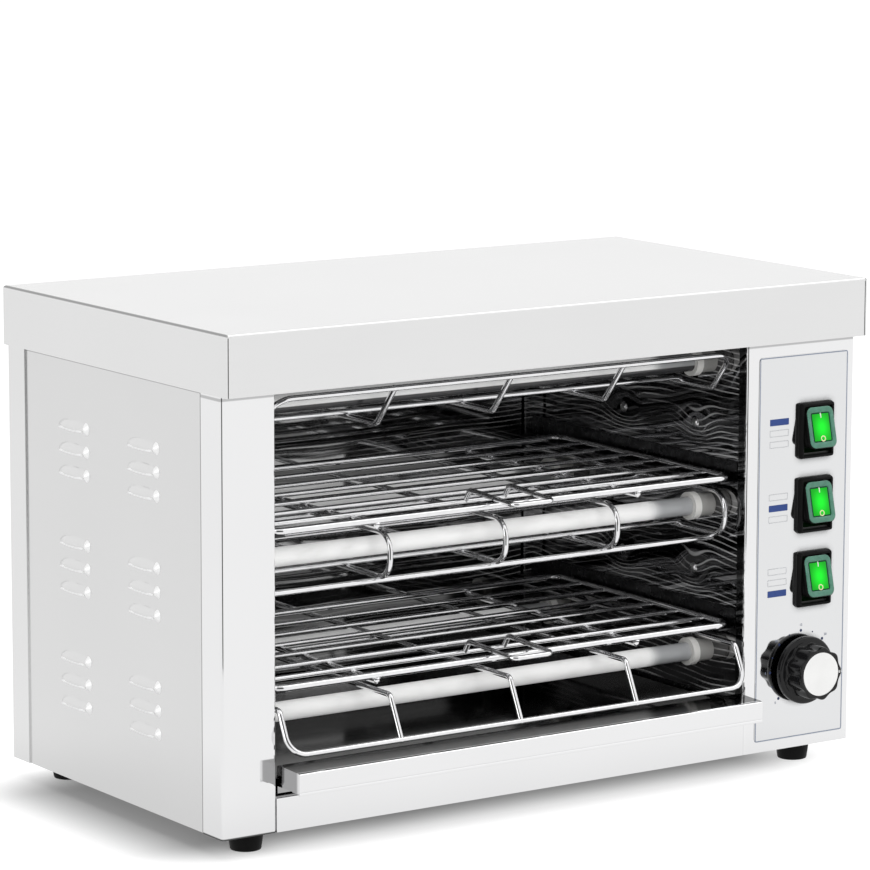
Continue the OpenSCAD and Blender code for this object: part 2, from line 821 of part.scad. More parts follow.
// Wire racks
module rack(k) place() color("silver") {
    z = rack_z[k];
    r = frame_wire / 2;
    xl = liner_l + rack_side + r;
    xr = liner_r - rack_side - r;
    yf = rack_front;
    yb = rack_front + rack_d;
    low = z - r - rib_wire / 2 + weld;
    high = low + (rib_wire + grid_wire) / 2 - weld;
    wire([
        [open_c, yf, z], [xl, yf, z], [xl, yb, z], [xr, yb, z], [xr, yf, z], [open_c, yf, z]
    ], [rack_corner, rack_corner, rack_corner, rack_corner], frame_wire);
    for (i = [1 : grid_count]) rod_x(xl, xr, yf + i * rack_d / (grid_count + 1), high, grid_wire);
    for (x = [-rib_pitch / 2, rib_pitch / 2]) rod_y(open_c + x, yf, yb, low, rib_wire);
    pull_loop(z, yf + rack_d / (grid_count + 1), high);
}

// Raised loop whose two feet stand on the first grid wire, at depth y and height foot
module pull_loop(z, y, foot) {
    xs = [open_c - loop_w / 2, open_c + loop_w / 2];
    top = z + loop_rise;
    end = top - loop_fall;
    wire([
        [xs[0], y, foot], [xs[0], y - loop_lean, top], [xs[0], -loop_out, end],
        [xs[1], -loop_out, end], [xs[1], y - loop_lean, top], [xs[1], y, foot]
    ], [grid_wire, loop_corner, loop_corner, grid_wire], grid_wire);
}

// Crumb tray
module crumb_tray() place() color("gainsboro") {
    xl = open_l + tray_side;
    xr = open_r - tray_side;
    front = return_d / 4;
    top = tray_z + lip_rise;
    base = top - lip_h;
    difference() {
        span([xl, xr], [front, tray_d], [tray_z, tray_z + tray_wall]);
        span(
            [xl + tray_sheet, xr - tray_sheet],
            [front - past, tray_d - tray_sheet],
            [tray_z + tray_sheet, body_h]
        );
    }
    along_x(xl, xr)
        polygon(folded([
            [front + tray_sheet, tray_z], [front + tray_sheet, top], [-lip_out, top - lip_fall],
            [-lip_out, base], [lip_under - lip_out, base]
        ], tray_sheet));
    for (x = [xl, xr - tray_sheet])
        span(
            [x, x + tray_sheet],
            [tray_sheet / 2 - lip_out, front],
            [base + tray_sheet / 2, top - lip_fall - tray_sheet / 2]
        );
}

// Controls
module control_label() place() color("aliceblue") {
    difference() {
        translate([label_l + label_w / 2, 0, label_z + label_h / 2])
            along_y(-label_t, 0) polygon(round_box(label_w, label_h, label_r));
        control_cuts([-past, past]);
    }
}

module switch_housing(k) place() color("black") translate([switch_x, 0, switch_zs[k]]) {
    face = -label_t - switch_flange;
    difference() {
        union() {
            along_y(face, -label_t) polygon(round_box(boot_w, boot_h, boot_r));
            along_y(-label_t - switch_flange / 2, switch_d) square([case_w, case_h], center = true);
        }
        along_y(face - past, switch_d / 2)
            square([case_w - 2 * case_wall, case_h - 2 * case_wall], center = true);
        rod_x(-case_w, case_w, pivot_d, 0, pin_d + 2 * running);
    }
}

// Rubber frame round a rocker's cover, drawn in towards its front
module switch_boot(k) place() color("black") translate([switch_x, 0, switch_zs[k]]) {
    face = -label_t - switch_flange;
    difference() {
        hull() {
            along_y(face - cut_gap, face) polygon(round_box(boot_w, boot_h, boot_r));
            along_y(face - boot_out, face - boot_out + cut_gap)
                polygon(round_box(boot_w - 2 * boot_lean, boot_h - 2 * boot_lean, boot_r));
        }
        along_y(face - boot_out - past, face + past)
            polygon(round_box(cover_w + 2 * seat_gap, case_h - 2 * cut_gap, boot_r));
    }
}

// Turns a rocker's parts to the resting tilt, with the upper end pressed in
module rocking(k) {
    translate([switch_x, pivot_d, switch_zs[k]]) rotate([-rocker_tilt, 0, 0]) children();
}

module rocker(k) place() color("limegreen") rocking(k) {
    face = cover_face - cover_wall - seat_gap;
    h = rocker_h / 2;
    neck = face - pin_d;
    along_x(-rocker_w / 2, rocker_w / 2)
        polygon([[-face, -h], [pin_d, -pin_d], [pin_d, pin_d], [-face, h], [-neck - pin_d / 2, 0]]);
    rod_x(-case_w / 2 + seat_gap, case_w / 2 - seat_gap, 0, 0, pin_d);
}

module rocker_cover(k) place() color("seagreen") rocking(k) {
    difference() {
        cover_block(0);
        cover_block(cover_wall);
    }
}

// Outside of the cover, or its inside when drawn in by a wall
module cover_block(wall) {
    h = cover_h / 2 - wall;
    foot = h - cover_lean;
    rear = -pivot_d;
    mouth = wall > 0 ? past : 0;
    intersection() {
        along_x(wall - cover_w / 2, cover_w / 2 - wall)
            polygon([
                [wall - cover_face, -h], [rear, -foot], [rear + mouth, -foot],
                [rear + mouth, foot], [rear, foot], [wall - cover_face, h]
            ]);
        along_y(-2 * cover_face, 2 * cover_face)
            polygon(round_box(cover_w - 2 * wall, 2 * h, cover_r - wall));
    }
}

module switch_terminals() place() color("goldenrod") {
    for (z = switch_zs, x = [-1, 1], row = [-1, 1])
        translate([switch_x + x * case_w / 4, 0, z + row * case_h / 4])
            span(
                [-blade_t / 2, blade_t / 2],
                [switch_d, switch_d + blade_out],
                [-blade_w / 2, blade_w / 2]
            );
}

module timer_body() place() color("dimgray") translate([knob_x, 0, knob_z]) {
    difference() {
        union() {
            along_y(sheet, sheet + timer_d) square([timer_w, timer_w], center = true);
            rod_y(0, -label_t - knob_gap / 2, sheet + past, 0, bush_d);
        }
        rod_y(0, -past - knob_gap, sheet + timer_d / 2, 0, shaft_d + 2 * running);
    }
}

module timer_nut() place() color("silver") translate([knob_x, 0, knob_z]) {
    difference() {
        translate([0, -label_t, 0]) rotate([90, 0, 0])
            cylinder(d = timer_nut_d, h = knob_gap / 2, $fn = 6);
        rod_y(0, -past - knob_gap, past, 0, bush_d + 2 * running);
    }
}

module timer_shaft() place() color("silver") {
    rod_y(knob_x, cap_t + knob_face - knob_out, sheet + timer_d / 2 - seat_gap, knob_z, shaft_d);
}

// Outline of the fluted grip
function grip_outline() = [
    for (i = [0 : lobes * lobe_steps - 1])
        let (t = 360 * i / (lobes * lobe_steps), r = grip_d / 2 - flute * (1 - cos(lobes * t)) / 2)
        [r * cos(t), r * sin(t)]
];

module control_knob() place() color("black") translate([knob_x, -label_t, knob_z]) {
    rim = skirt_t / 4;
    difference() {
        union() {
            rotate([90, 0, 0]) rotate_extrude()
                polygon([
                    [0, knob_gap], [skirt_d / 2, knob_gap], [skirt_d / 2, knob_gap + skirt_t - rim],
                    [skirt_d / 2 - rim, knob_gap + skirt_t], [0, knob_gap + skirt_t]
                ]);
            along_y(-knob_out, -knob_gap - rim) polygon(grip_outline());
        }
        rod_y(0, label_t + cap_t + knob_face - knob_out - seat_gap, 0, 0, shaft_d + running / 2);
        rod_y(0, -knob_out - past, cap_t - knob_out, 0, cap_d + 2 * running);
    }
}

module knob_cap() place() color("white") translate([knob_x, -label_t - knob_out, knob_z]) {
    crown = cap_t / 4;
    rotate([90, 0, 0]) rotate_extrude()
        polygon([[0, -cap_t], [cap_d / 2, -cap_t], [cap_d / 2, 0], [cap_d / 2 - crown, crown], [0, crown]]);
}

// Feet, fasteners and the mains inlet
module feet() place() color("black") at_feet() {
    difference() {
        translate([0, 0, -foot_h]) cylinder(d1 = foot_d, d2 = foot_top_d, h = foot_h);
        translate([0, 0, -foot_h - past]) cylinder(d = screw_d + 2 * running, h = foot_h + 2 * past);
        translate([0, 0, -foot_h - past]) cylinder(d = head_d + 2 * cut_gap, h = foot_h / 2 + past);
    }
}

module foot_screws() place() color("silver") at_feet() {
    translate([0, 0, -foot_h / 2]) cylinder(d = screw_d, h = foot_h / 2 + base_edge);
    translate([0, 0, -foot_h / 2 - head_h]) cylinder(d = head_d, h = head_h);
    translate([0, 0, sheet]) rotate([0, 0, 30]) cylinder(d = head_d, h = nut_h, $fn = 6);
}

module rear_screws() place() color("silver") at_rear_screws() {
    rod_y(0, -2 * screw_d, head_h, 0, screw_d);
    rod_y(0, 0, head_h, 0, head_d);
}

module cable_gland() place() color("black") translate([gland_x, body_d, gland_z]) {
    collar = gland_out / 3;
    difference() {
        union() {
            rod_y(0, -sheet - gland_out / 2, gland_out / 2, 0, gland_d);
            translate([0, collar, 0]) rotate([90, 0, 0]) cylinder(d = gland_hex, h = collar, $fn = 6);
            translate([0, collar - weld, 0]) rotate([-90, 0, 0])
                cylinder(
                    d1 = gland_d + gland_wall,
                    d2 = cable_d + 2 * gland_wall,
                    h = gland_out - collar + weld
                );
            translate([0, -sheet, 0]) rotate([90, 0, 0]) cylinder(d = gland_hex, h = collar, $fn = 6);
        }
        rod_y(0, -body_d / 4, body_d / 4, 0, cable_d);
    }
}

module terminal_block() place() color("ivory") translate([gland_x, body_d - block_inset, sheet]) {
    difference() {
        span([-1.5 * block_pitch, 1.5 * block_pitch], [-block_d / 2, block_d / 2], [0, block_h]);
        for (k = [-1 : 1]) translate([k * block_pitch, 0, block_h / 2]) {
            rod_y(0, -block_d, block_d, 0, block_hole);
            for (y = [-block_d / 4, block_d / 4])
                translate([0, y, 0]) cylinder(d = block_hole, h = block_h);
        }
    }
}

top_cover();
left_column();
control_panel();
lower_rail();
left_side_panel();
right_side_panel();
rear_panel();
base_plate();
left_liner();
right_liner();
back_liner();
top_reflector();
tray_runners();
liner_rivets();
top_guard();
middle_guard();
lower_guard();
heating_coils();
terminal_studs();
crumb_tray();
control_label();
timer_body();
timer_nut();
timer_shaft();
control_knob();
knob_cap();
switch_terminals();
feet();
foot_screws();
cable_gland();
terminal_block();
rear_screws();
for (k = [0 : 2]) {
    quartz_tube(front_tube_d, tube_z[k]);
    quartz_tube(rear_tube_d, tube_z[k]);
    ceramic_caps(k);
    switch_housing(k);
    switch_boot(k);
    rocker(k);
    rocker_cover(k);
}
for (k = [0, 1]) {
    rack(k);
    rack_runners(k);
}
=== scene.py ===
"""Looks for a two-level salamander grill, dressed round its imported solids.

Lengths are millimetres in the fields of the grill's pieces, and metres in the finishes, the studio and the
meshes. X runs right, Y runs back and Z runs up from the floor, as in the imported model.
"""

import logging
import math
from dataclasses import dataclass, field
from enum import Enum
from typing import Iterable, Sequence

import bmesh
import bpy
import numpy as np
from mathutils import Euler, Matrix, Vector


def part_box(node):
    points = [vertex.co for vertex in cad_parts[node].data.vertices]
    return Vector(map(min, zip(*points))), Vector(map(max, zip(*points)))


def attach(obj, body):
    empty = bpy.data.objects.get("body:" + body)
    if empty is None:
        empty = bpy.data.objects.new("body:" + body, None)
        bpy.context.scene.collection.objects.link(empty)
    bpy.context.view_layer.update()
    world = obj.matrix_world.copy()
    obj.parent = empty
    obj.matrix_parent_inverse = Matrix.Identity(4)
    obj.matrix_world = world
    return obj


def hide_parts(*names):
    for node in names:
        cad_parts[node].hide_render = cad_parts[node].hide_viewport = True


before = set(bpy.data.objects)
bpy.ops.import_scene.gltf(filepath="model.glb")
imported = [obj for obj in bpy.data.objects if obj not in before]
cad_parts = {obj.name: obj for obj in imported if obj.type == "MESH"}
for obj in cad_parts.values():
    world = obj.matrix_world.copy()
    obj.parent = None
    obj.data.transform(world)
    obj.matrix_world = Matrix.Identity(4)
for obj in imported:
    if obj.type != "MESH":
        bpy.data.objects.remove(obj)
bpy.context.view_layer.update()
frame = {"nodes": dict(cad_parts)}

MM = 0.001
SHARP_EDGE = math.radians(38.0)
LEAST_CORNER = 0.3
WHITE = (1.0, 1.0, 1.0, 1.0)
ZERO = (0.0, 0.0, 0.0)
Pair = tuple[float, float]
Triple = tuple[float, float, float]
Profile = tuple[Triple, ...]
Numbers = float | Sequence[float]
Inputs = dict[str, object]
Socket = bpy.types.NodeSocket
log = logging.getLogger("grill")


class Axis(Enum):
    """The direction that a rolled or drawn grain runs in."""

    X = 0
    Y = 1
    Z = 2


class Level(Enum):
    """The three switches, one for each heater level."""

    LOWER = 0
    MIDDLE = 1
    UPPER = 2

    @property
    def word(self) -> str:
        """The level's name in the names of its switch's nodes."""
        return self.name.lower()


# Surfaces


@dataclass(frozen=True)
class Skin:
    """Points in metres with the quads and triangles that join them."""

    points: np.ndarray
    quads: np.ndarray
    tris: np.ndarray

    @staticmethod
    def joined(skins: Sequence["Skin"]) -> "Skin":
        """Puts several skins into one.

        Args:
            skins: the skins, in order.

        Returns:
            One skin with all their points and faces.
        """
        starts = np.cumsum([0] + [len(s.points) for s in skins[:-1]])
        return Skin(
            np.concatenate([s.points for s in skins]),
            np.concatenate([s.quads + k for s, k in zip(skins, starts)]),
            np.concatenate([s.tris + k for s, k in zip(skins, starts)]),
        )

    def repeated(self, places: np.ndarray) -> "Skin":
        """Copies the skin to many places by adding each place to every point.

        Args:
            places: an array of shifts in metres, one row each.

        Returns:
            One skin with all the copies.
        """
        steps = (np.arange(len(places)) * len(self.points))[:, None, None]
        return Skin(
            (self.points[None] + places[:, None]).reshape(-1, 3),
            (self.quads[None] + steps).reshape(-1, 4),
            (self.tris[None] + steps).reshape(-1, 3),
        )

    def shifted(self, place: Sequence[float]) -> "Skin":
        """Moves the skin by a shift in metres."""
        return Skin(self.points + np.asarray(place, float), self.quads, self.tris)

    def tipped(self, degrees: float) -> "Skin":
        """Turns the skin about the X axis: y and z turn by the angle.

        Args:
            degrees: the angle.

        Returns:
            The turned skin.
        """
        c, s = math.cos(math.radians(degrees)), math.sin(math.radians(degrees))
        turn = np.array([[1, 0, 0], [0, c, -s], [0, s, c]])
        return Skin(self.points @ turn.T, self.quads, self.tris)


def round_angles(steps: int) -> np.ndarray:
    """Equal steps round a full turn, in radians."""
    return np.arange(steps) * 2 * np.pi / steps


def grid(xs: Numbers, ys: Numbers, zs: Numbers) -> np.ndarray:
    """Every meeting of the coordinates given for X, Y and Z, as rows in which Z runs fastest."""
    return np.stack(np.meshgrid(xs, ys, zs, indexing="ij"), axis=-1).reshape(-1, 3)


def middle_of(node: str) -> Vector:
    """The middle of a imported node's box, in metres."""
    low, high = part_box(node)
    return (low + high) / 2


def lofted(loops: np.ndarray, caps: bool = False, ring: bool = False) -> Skin:
    """Joins closed loops into a skin: the point of loop i at step j is joined to its four neighbours.

    Args:
        loops: an array of loops, steps and coordinates in metres.
        caps: closes the first and the last loop with a fan about its mean point.
        ring: joins the last loop to the first.

    Returns:
        The skin.
    """
    rows, steps = loops.shape[:2]
    index = np.arange(rows * steps).reshape(rows, steps)
    a = index if ring else index[:-1]
    b = np.roll(index, -1, axis=0) if ring else index[1:]
    quads = np.stack([a, np.roll(a, -1, axis=1), np.roll(b, -1, axis=1), b], axis=-1).reshape(-1, 4)
    points = loops.reshape(-1, 3)
    tris = np.zeros((0, 3), int)
    if caps:
        points = np.concatenate([points, loops[[0, -1]].mean(axis=1)])
        tris = np.concatenate([
            np.stack([edge, np.roll(edge, -1), np.full(steps, rows * steps + k)], axis=-1)
            for k, edge in enumerate((index[0], index[-1]))
        ])
    return Skin(points, quads, tris)


def round_box(size: np.ndarray, radius: np.ndarray, steps: int = 7) -> np.ndarray:
    """Outlines of rectangles with round corners: quarter circles about each corner's centre.

    Args:
        size: widths and heights, one row for each outline.
        radius: the corner radius of each outline.
        steps: spans of each quarter circle.

    Returns:
        An array of outlines, points and two coordinates.
    """
    turn = np.linspace(0, np.pi / 2, steps + 1)
    angles = (np.arange(4)[:, None] * np.pi / 2 + turn).ravel()
    signs = np.repeat(np.array([[1, 1], [-1, 1], [-1, -1], [1, -1]]), steps + 1, axis=0)
    circle = np.stack([np.cos(angles), np.sin(angles)], axis=-1)
    middle = size / 2 - radius[:, None]
    return signs * middle[:, None] + radius[:, None, None] * circle


def framed(profile: Sequence[Sequence[float]], size: Pair, radius: float) -> np.ndarray:
    """Loops of a profile carried round a rectangle with round corners.

    Each profile row draws the outline in by its first two numbers, across and up, and lifts it out
    towards -Y by the third.

    Args:
        profile: rows of inset across, inset up and distance out, in millimetres.
        size: width and height of the outline.
        radius: corner radius of the outline.

    Returns:
        Loops in metres, in the X-Z plane with -Y outwards.
    """
    rows = np.asarray(profile, float)
    corner = np.maximum(radius - rows[:, :2].min(axis=1), LEAST_CORNER)
    flat = round_box(np.asarray(size) - 2 * rows[:, :2], corner)
    out = np.broadcast_to(-rows[:, 2, None], flat.shape[:2])
    return np.stack([flat[..., 0], out, flat[..., 1]], axis=-1) * MM


def turned(profile: Sequence[Sequence[float]], steps: int, flutes: int = 0) -> np.ndarray:
    """Loops of a profile turned about the Y axis: x = r cos t, z = r sin t and y = -out.

    Args:
        profile: rows of radius, distance out and depth of flutes, in millimetres.
        steps: points round each loop.
        flutes: number of flutes, each cut by half of one minus the cosine of its turn.

    Returns:
        Loops in metres.
    """
    rows = np.asarray(profile, float)
    t = round_angles(steps)
    r = rows[:, 0, None] - rows[:, 2, None] * (1 - np.cos(flutes * t)) / 2
    y = np.broadcast_to(-rows[:, 1, None], r.shape)
    return np.stack([r * np.cos(t), y, r * np.sin(t)], axis=-1) * MM


def ellipsoid(radii: Sequence[float], rings: int = 5, steps: int = 8) -> Skin:
    """A bead: rings of latitude on an ellipsoid, closed by fans at both poles.

    Args:
        radii: the three half lengths in millimetres.
        rings: rings between the poles.
        steps: points round each ring.

    Returns:
        The skin about the origin.
    """
    lat = np.linspace(-np.pi / 2, np.pi / 2, rings + 2)[1:-1, None]
    t = round_angles(steps)
    parts = np.broadcast_arrays(np.cos(lat) * np.cos(t), np.cos(lat) * np.sin(t), np.sin(lat))
    return lofted(np.stack(parts, axis=-1) * np.asarray(radii) * MM, caps=True)


def make_piece(name: str, skin: Skin, finish: "Finish", body: str, replaces: Iterable[str] = ()) -> None:
    """Makes a mesh object from a skin, dresses it and lets it ride on a body.

    Args:
        name: the piece's name.
        skin: its surface in the row frame.
        finish: its finish.
        body: the body that it rides on.
        replaces: nodes that it stands for.
    """
    mesh = bpy.data.meshes.new(name)
    mesh.from_pydata(skin.points.tolist(), [], skin.quads.tolist() + skin.tris.tolist())
    shape = bmesh.new()
    shape.from_mesh(mesh)
    bmesh.ops.recalc_face_normals(shape, faces=shape.faces)
    shape.to_mesh(mesh)
    shape.free()
    mesh.polygons.foreach_set("use_smooth", np.ones(len(mesh.polygons), bool))
    mesh.set_sharp_from_angle(angle=SHARP_EDGE)
    piece = bpy.data.objects.new(name, mesh)
    bpy.context.scene.collection.objects.link(piece)
    mesh.materials.append(finish.material())
    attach(piece, body)
    if replaces:
        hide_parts(*replaces)
    log.info("%s: %d faces on %s", name, len(mesh.polygons), body)


# Finishes


class Nodes:
    """Short calls for the shader nodes that the finishes share."""

    def __init__(self, tree: bpy.types.NodeTree) -> None:
        """Keeps the tree that the nodes go into."""
        self.tree = tree

    def fill(self, node: bpy.types.Node, values: dict[str | int, object]) -> None:
        """Links sockets to a node's inputs, and sets numbers there.

        Args:
            node: the node.
            values: sockets or numbers, by the input's name or number.
        """
        for key, value in values.items():
            if isinstance(value, Socket):
                self.tree.links.new(value, node.inputs[key])
            else:
                node.inputs[key].default_value = value

    def add(self, kind: str, values: dict[str | int, object], **settings: object) -> bpy.types.Node:
        """Adds a node.

        Args:
            kind: what follows ShaderNode in the node's type.
            values: sockets or numbers, by the input's name or number.
            **settings: the node's own properties.

        Returns:
            The node.
        """
        node = self.tree.nodes.new("ShaderNode" + kind)
        for key, value in settings.items():
            setattr(node, key, value)
        self.fill(node, values)
        return node

    def place(self) -> Socket:
        """The point's place on the object, in metres."""
        return self.add("TexCoord", {}).outputs["Object"]

    def axis(self, which: Axis) -> Socket:
        """One coordinate of the point's place, in metres."""
        return self.add("SeparateXYZ", {0: self.place()}).outputs[which.value]

    def noise(self, cells: Numbers, detail: float) -> Socket:
        """Cloudy noise, stretched by its counts of cells.

        Args:
            cells: cells for each metre, or for each metre along X, Y and Z.
            detail: finer layers on top of the first.

        Returns:
            The noise from 0 to 1.
        """
        scale = [float(c) for c in np.broadcast_to(cells, 3)]
        spread = self.add("Mapping", {"Vector": self.place(), "Scale": scale}).outputs[0]
        return self.add("TexNoise", {"Vector": spread, "Scale": 1.0, "Detail": detail}).outputs["Fac"]

    def ranged(self, value: Socket, low: float, high: float, to_low: float, to_high: float) -> Socket:
        """Maps a value smoothly: low becomes to_low and high becomes to_high."""
        bounds = {"Value": value, 1: low, 2: high, 3: to_low, 4: to_high}
        return self.add("MapRange", bounds, interpolation_type="SMOOTHSTEP").outputs[0]

    def math(self, operation: str, a: Socket | float, b: Socket | float = 0.0) -> Socket:
        """One step of arithmetic on two values."""
        return self.add("Math", {0: a, 1: b}, operation=operation).outputs[0]

    def vector(self, operation: str, a: Socket, b: Triple = ZERO) -> bpy.types.NodeOutputs:
        """One step of arithmetic on two vectors, which gives a vector and a value."""
        return self.add("VectorMath", {0: a, 1: b}, operation=operation).outputs

    def shaded(self, colour: Socket, share: Socket) -> Socket:
        """A colour times a share."""
        return self.add("VectorMath", {0: colour, "Scale": share}, operation="SCALE").outputs[0]

    def tint(self, share: Socket, first: Socket | Triple, second: Triple) -> Socket:
        """Blends two colours by a share from 0 to 1."""
        start = first if isinstance(first, Socket) else (*first, 1)
        return self.add("Mix", {0: share, 6: start, 7: (*second, 1)}, data_type="RGBA").outputs[2]

    def distance(self, centre: Triple, weights: Triple) -> Socket:
        """The distance in metres from a centre, with each axis weighed."""
        shift = self.vector("SUBTRACT", self.place(), centre)[0]
        return self.vector("LENGTH", self.vector("MULTIPLY", shift, weights)[0])["Value"]

    def crease(self, reach: float) -> Socket:
        """Painted shade from ambient occlusion: 1 in the open, less in a seam or crease. Sheets within the reach
        count.
        """
        node = self.add("AmbientOcclusion", {"Distance": reach}, samples=6)
        return self.ranged(node.outputs["AO"], 0.55, 0.95, 0.25, 1.0)

    def bump(self, height: Socket, depth: float, strength: float) -> Socket:
        """A normal that keeps a share of the tilt of a height from 0 to 1, which is so many metres deep."""
        return self.add("Bump", {"Height": height, "Distance": depth, "Strength": strength}).outputs[0]


@dataclass(frozen=True)
class Finish:
    """A finish: its name, main colour, roughness and slot; the slot is not used."""

    name: str
    colour: Triple
    roughness: float
    slot: str = field(default="", kw_only=True)

    def material(self) -> bpy.types.Material:
        """Makes the material once and gives the same one each time.

        Returns:
            The material.
        """
        title = f"{self.name}_look"
        made = bpy.data.materials.get(title)
        if made is None:
            made = bpy.data.materials.new(title)
            made.use_nodes = True
            nodes = Nodes(made.node_tree)
            shader = made.node_tree.nodes["Principled BSDF"]
            nodes.fill(shader, {"Base Color": (*self.colour, 1), "Roughness": self.roughness})
            nodes.fill(shader, self.paint(nodes))
        return made

    def shades(self, nodes: Nodes, share: Socket, low: float, high: float) -> Socket:
        """The main colour, from one shade to another by a share."""
        first, second = (tuple(c * level for c in self.colour) for level in (low, high))
        return nodes.tint(share, first, second)

    def rough(self, nodes: Nodes, value: Socket, span: Pair, shares: Pair) -> Socket:
        """The roughness times two shares, from the start to the end of a value's span."""
        return nodes.ranged(value, *span, self.roughness * shares[0], self.roughness * shares[1])

    def paint(self, nodes: Nodes) -> Inputs:
        """Gives the shader's inputs, by name. Each kind of finish has its own."""
        raise NotImplementedError


@dataclass(frozen=True)
class RolledSteel(Finish):
    """Stainless sheet with a fine rolled grain and faint clouds from handling."""

    grain: Axis = Axis.X
    cells: float = 900.0
    stretch: float = 60.0
    cloud_cells: float = 7.0
    depth: float = 0.000001
    # Reach of the painted crease shade in metres; 0 leaves it out.
    seam: float = 0.005

    def paint(self, nodes: Nodes) -> Inputs:
        """Streaks along the grain turn the roughness and the normal a little; clouds shift the colour, and
        painted shade from ambient occlusion darkens seams and creases.

        Args:
            nodes: the material's nodes.

        Returns:
            The shader's inputs.
        """
        cells = [self.cells] * 3
        cells[self.grain.value] = self.cells / self.stretch
        streaks = nodes.noise(cells, 3)
        sheet = self.tone(nodes, self.shades(nodes, nodes.noise(self.cloud_cells, 2), 0.97, 1.02))
        return {
            "Metallic": 1.0,
            # Painted shade: ambient occlusion darkens the colour in seams and creases.
            "Base Color": nodes.shaded(sheet, nodes.crease(self.seam)) if self.seam else sheet,
            "Roughness": self.rough(nodes, streaks, (0.25, 0.75), (0.85, 1.15)),
            "Normal": nodes.bump(streaks, self.depth, 0.5),
        }

    def tone(self, nodes: Nodes, sheet: Socket) -> Socket:
        """Gives a kind of sheet the chance to paint shade into its colour from place to place."""
        return sheet


@dataclass(frozen=True)
class Line:
    """A painted dark line: painted shade at laps, under edges and at feet, and painted dark reflection along
    tight folds. It has a point, the weights of X, Y and Z for the distance from it, and its tone.
    """

    centre: Triple
    weights: Triple
    tone: float = 0.4
    full: float = 0.0005
    reach: float = 0.0013


@dataclass(frozen=True)
class LinedSheet(RolledSteel):
    """Sheet with painted dark lines: painted dark reflection along tight folds, and painted shade at laps where
    one sheet slips under the next and under edges.
    """

    lines: tuple[Line, ...] = ()

    def tone(self, nodes: Nodes, sheet: Socket) -> Socket:
        """Darkens the sheet along each line, as painted shade and painted dark reflection.

        Args:
            nodes: the material's nodes.
            sheet: the sheet's colour.

        Returns:
            The colour with its lines.
        """
        for line in self.lines:
            away = nodes.distance(line.centre, line.weights)
            sheet = nodes.shaded(sheet, nodes.ranged(away, line.full, line.reach, line.tone, 1.0))
        return sheet


@dataclass(frozen=True)
class TraySheet(RolledSteel):
    """Polished sheet with painted shade on its inside."""

    inside: Triple = (0.09, 0.09, 0.09)
    upright: float = 0.6
    inside_from: float = 0.0
    inside_to: float = 0.01

    def tone(self, nodes: Nodes, sheet: Socket) -> Socket:
        """Paints shade on the sheet behind its front wall, most where it faces up.

        Args:
            nodes: the material's nodes.
            sheet: the sheet's colour.

        Returns:
            The colour with its painted shade inside.
        """
        normal = nodes.add("NewGeometry", {}).outputs["Normal"]
        rise = nodes.add("SeparateXYZ", {0: normal}).outputs["Z"]
        behind = nodes.ranged(nodes.axis(Axis.Y), self.inside_from, self.inside_to, 0.0, 1.0)
        flat = nodes.ranged(rise, 0.3, 0.7, self.upright, 1.0)
        return nodes.tint(nodes.math("MULTIPLY", behind, flat), sheet, self.inside)


@dataclass(frozen=True)
class MirrorSheet(Finish):
    """Bright thin lining that waves a little and is drawn in round its rivets; the dark colour that it is given
    is painted shade.
    """

    dimples: tuple[Pair, ...] = ()
    wave: float = 0.0008
    dimple: float = 0.00025
    # Colour of the pale lines, a painted reflection of the racks.
    line: Triple = (0.75, 0.75, 0.75)
    line_pitch: float = 0.0038
    line_share: float = 0.9
    swerve: float = 0.013
    rivet_swerve: float = 0.008
    seam_x: float | None = None
    seam_w: float = 0.0011
    seam_edge: float = 0.35

    def paint(self, nodes: Nodes) -> Inputs:
        """Slow waves along the sheet, and a soft dent at each rivet, tilt the mirror.

        Thin pale lines, a painted reflection of the racks, follow the waves as the racks' reflection does in a
        mirror that isn't flat. A seam is a dark upright line with a painted highlight along one edge.

        Args:
            nodes: the material's nodes.

        Returns:
            The shader's inputs.
        """
        slow = nodes.noise((9, 14, 17), 1)
        height = nodes.math("MULTIPLY", slow, self.wave)
        rise = nodes.math("ADD", nodes.axis(Axis.Z), nodes.math("MULTIPLY", slow, self.swerve))
        for y, z in self.dimples:
            away = nodes.distance((0, y, z), (0, 0.7, 1))
            height = nodes.math("ADD", height, nodes.ranged(away, 0.002, 0.014, -self.dimple, 0.0))
            rise = nodes.math("ADD", rise, nodes.ranged(away, 0.001, 0.02, self.rivet_swerve, 0.0))
        # Painted reflection: pale lines that follow the waves and bend round the rivets.
        wave = nodes.math("SINE", nodes.math("MULTIPLY", rise, 2 * math.pi / self.line_pitch))
        lines = nodes.ranged(wave, 0.45, 1.0, 0.0, self.line_share)
        broken = nodes.ranged(nodes.noise((14, 14, 60), 2), 0.35, 0.65, 0.1, 1.0)
        stains = nodes.noise(30, 3)
        sheet = self.shades(nodes, stains, 0.85, 1.1)
        share = nodes.math("MULTIPLY", lines, broken)
        if self.seam_x is not None:
            away, beside = (nodes.distance((self.seam_x + k * self.seam_w, 0, 0), (1, 0, 0)) for k in (0, 2))
            share = nodes.math("MAXIMUM", share, nodes.ranged(beside, 0.0, self.seam_w, self.seam_edge, 0.0))
            clear = nodes.ranged(away, 0.7 * self.seam_w, 1.3 * self.seam_w, 0.0, 1.0)
            share = nodes.math("MULTIPLY", share, clear)
            sheet = nodes.shaded(sheet, clear)
        return {
            "Base Color": nodes.tint(share, sheet, self.line),
            "Metallic": nodes.ranged(share, 0.0, 1.0, 1.0, 0.2),
            "Roughness": self.rough(nodes, stains, (0.35, 0.8), (1, 2)),
            "Normal": nodes.bump(height, 1.0, 1.0),
        }


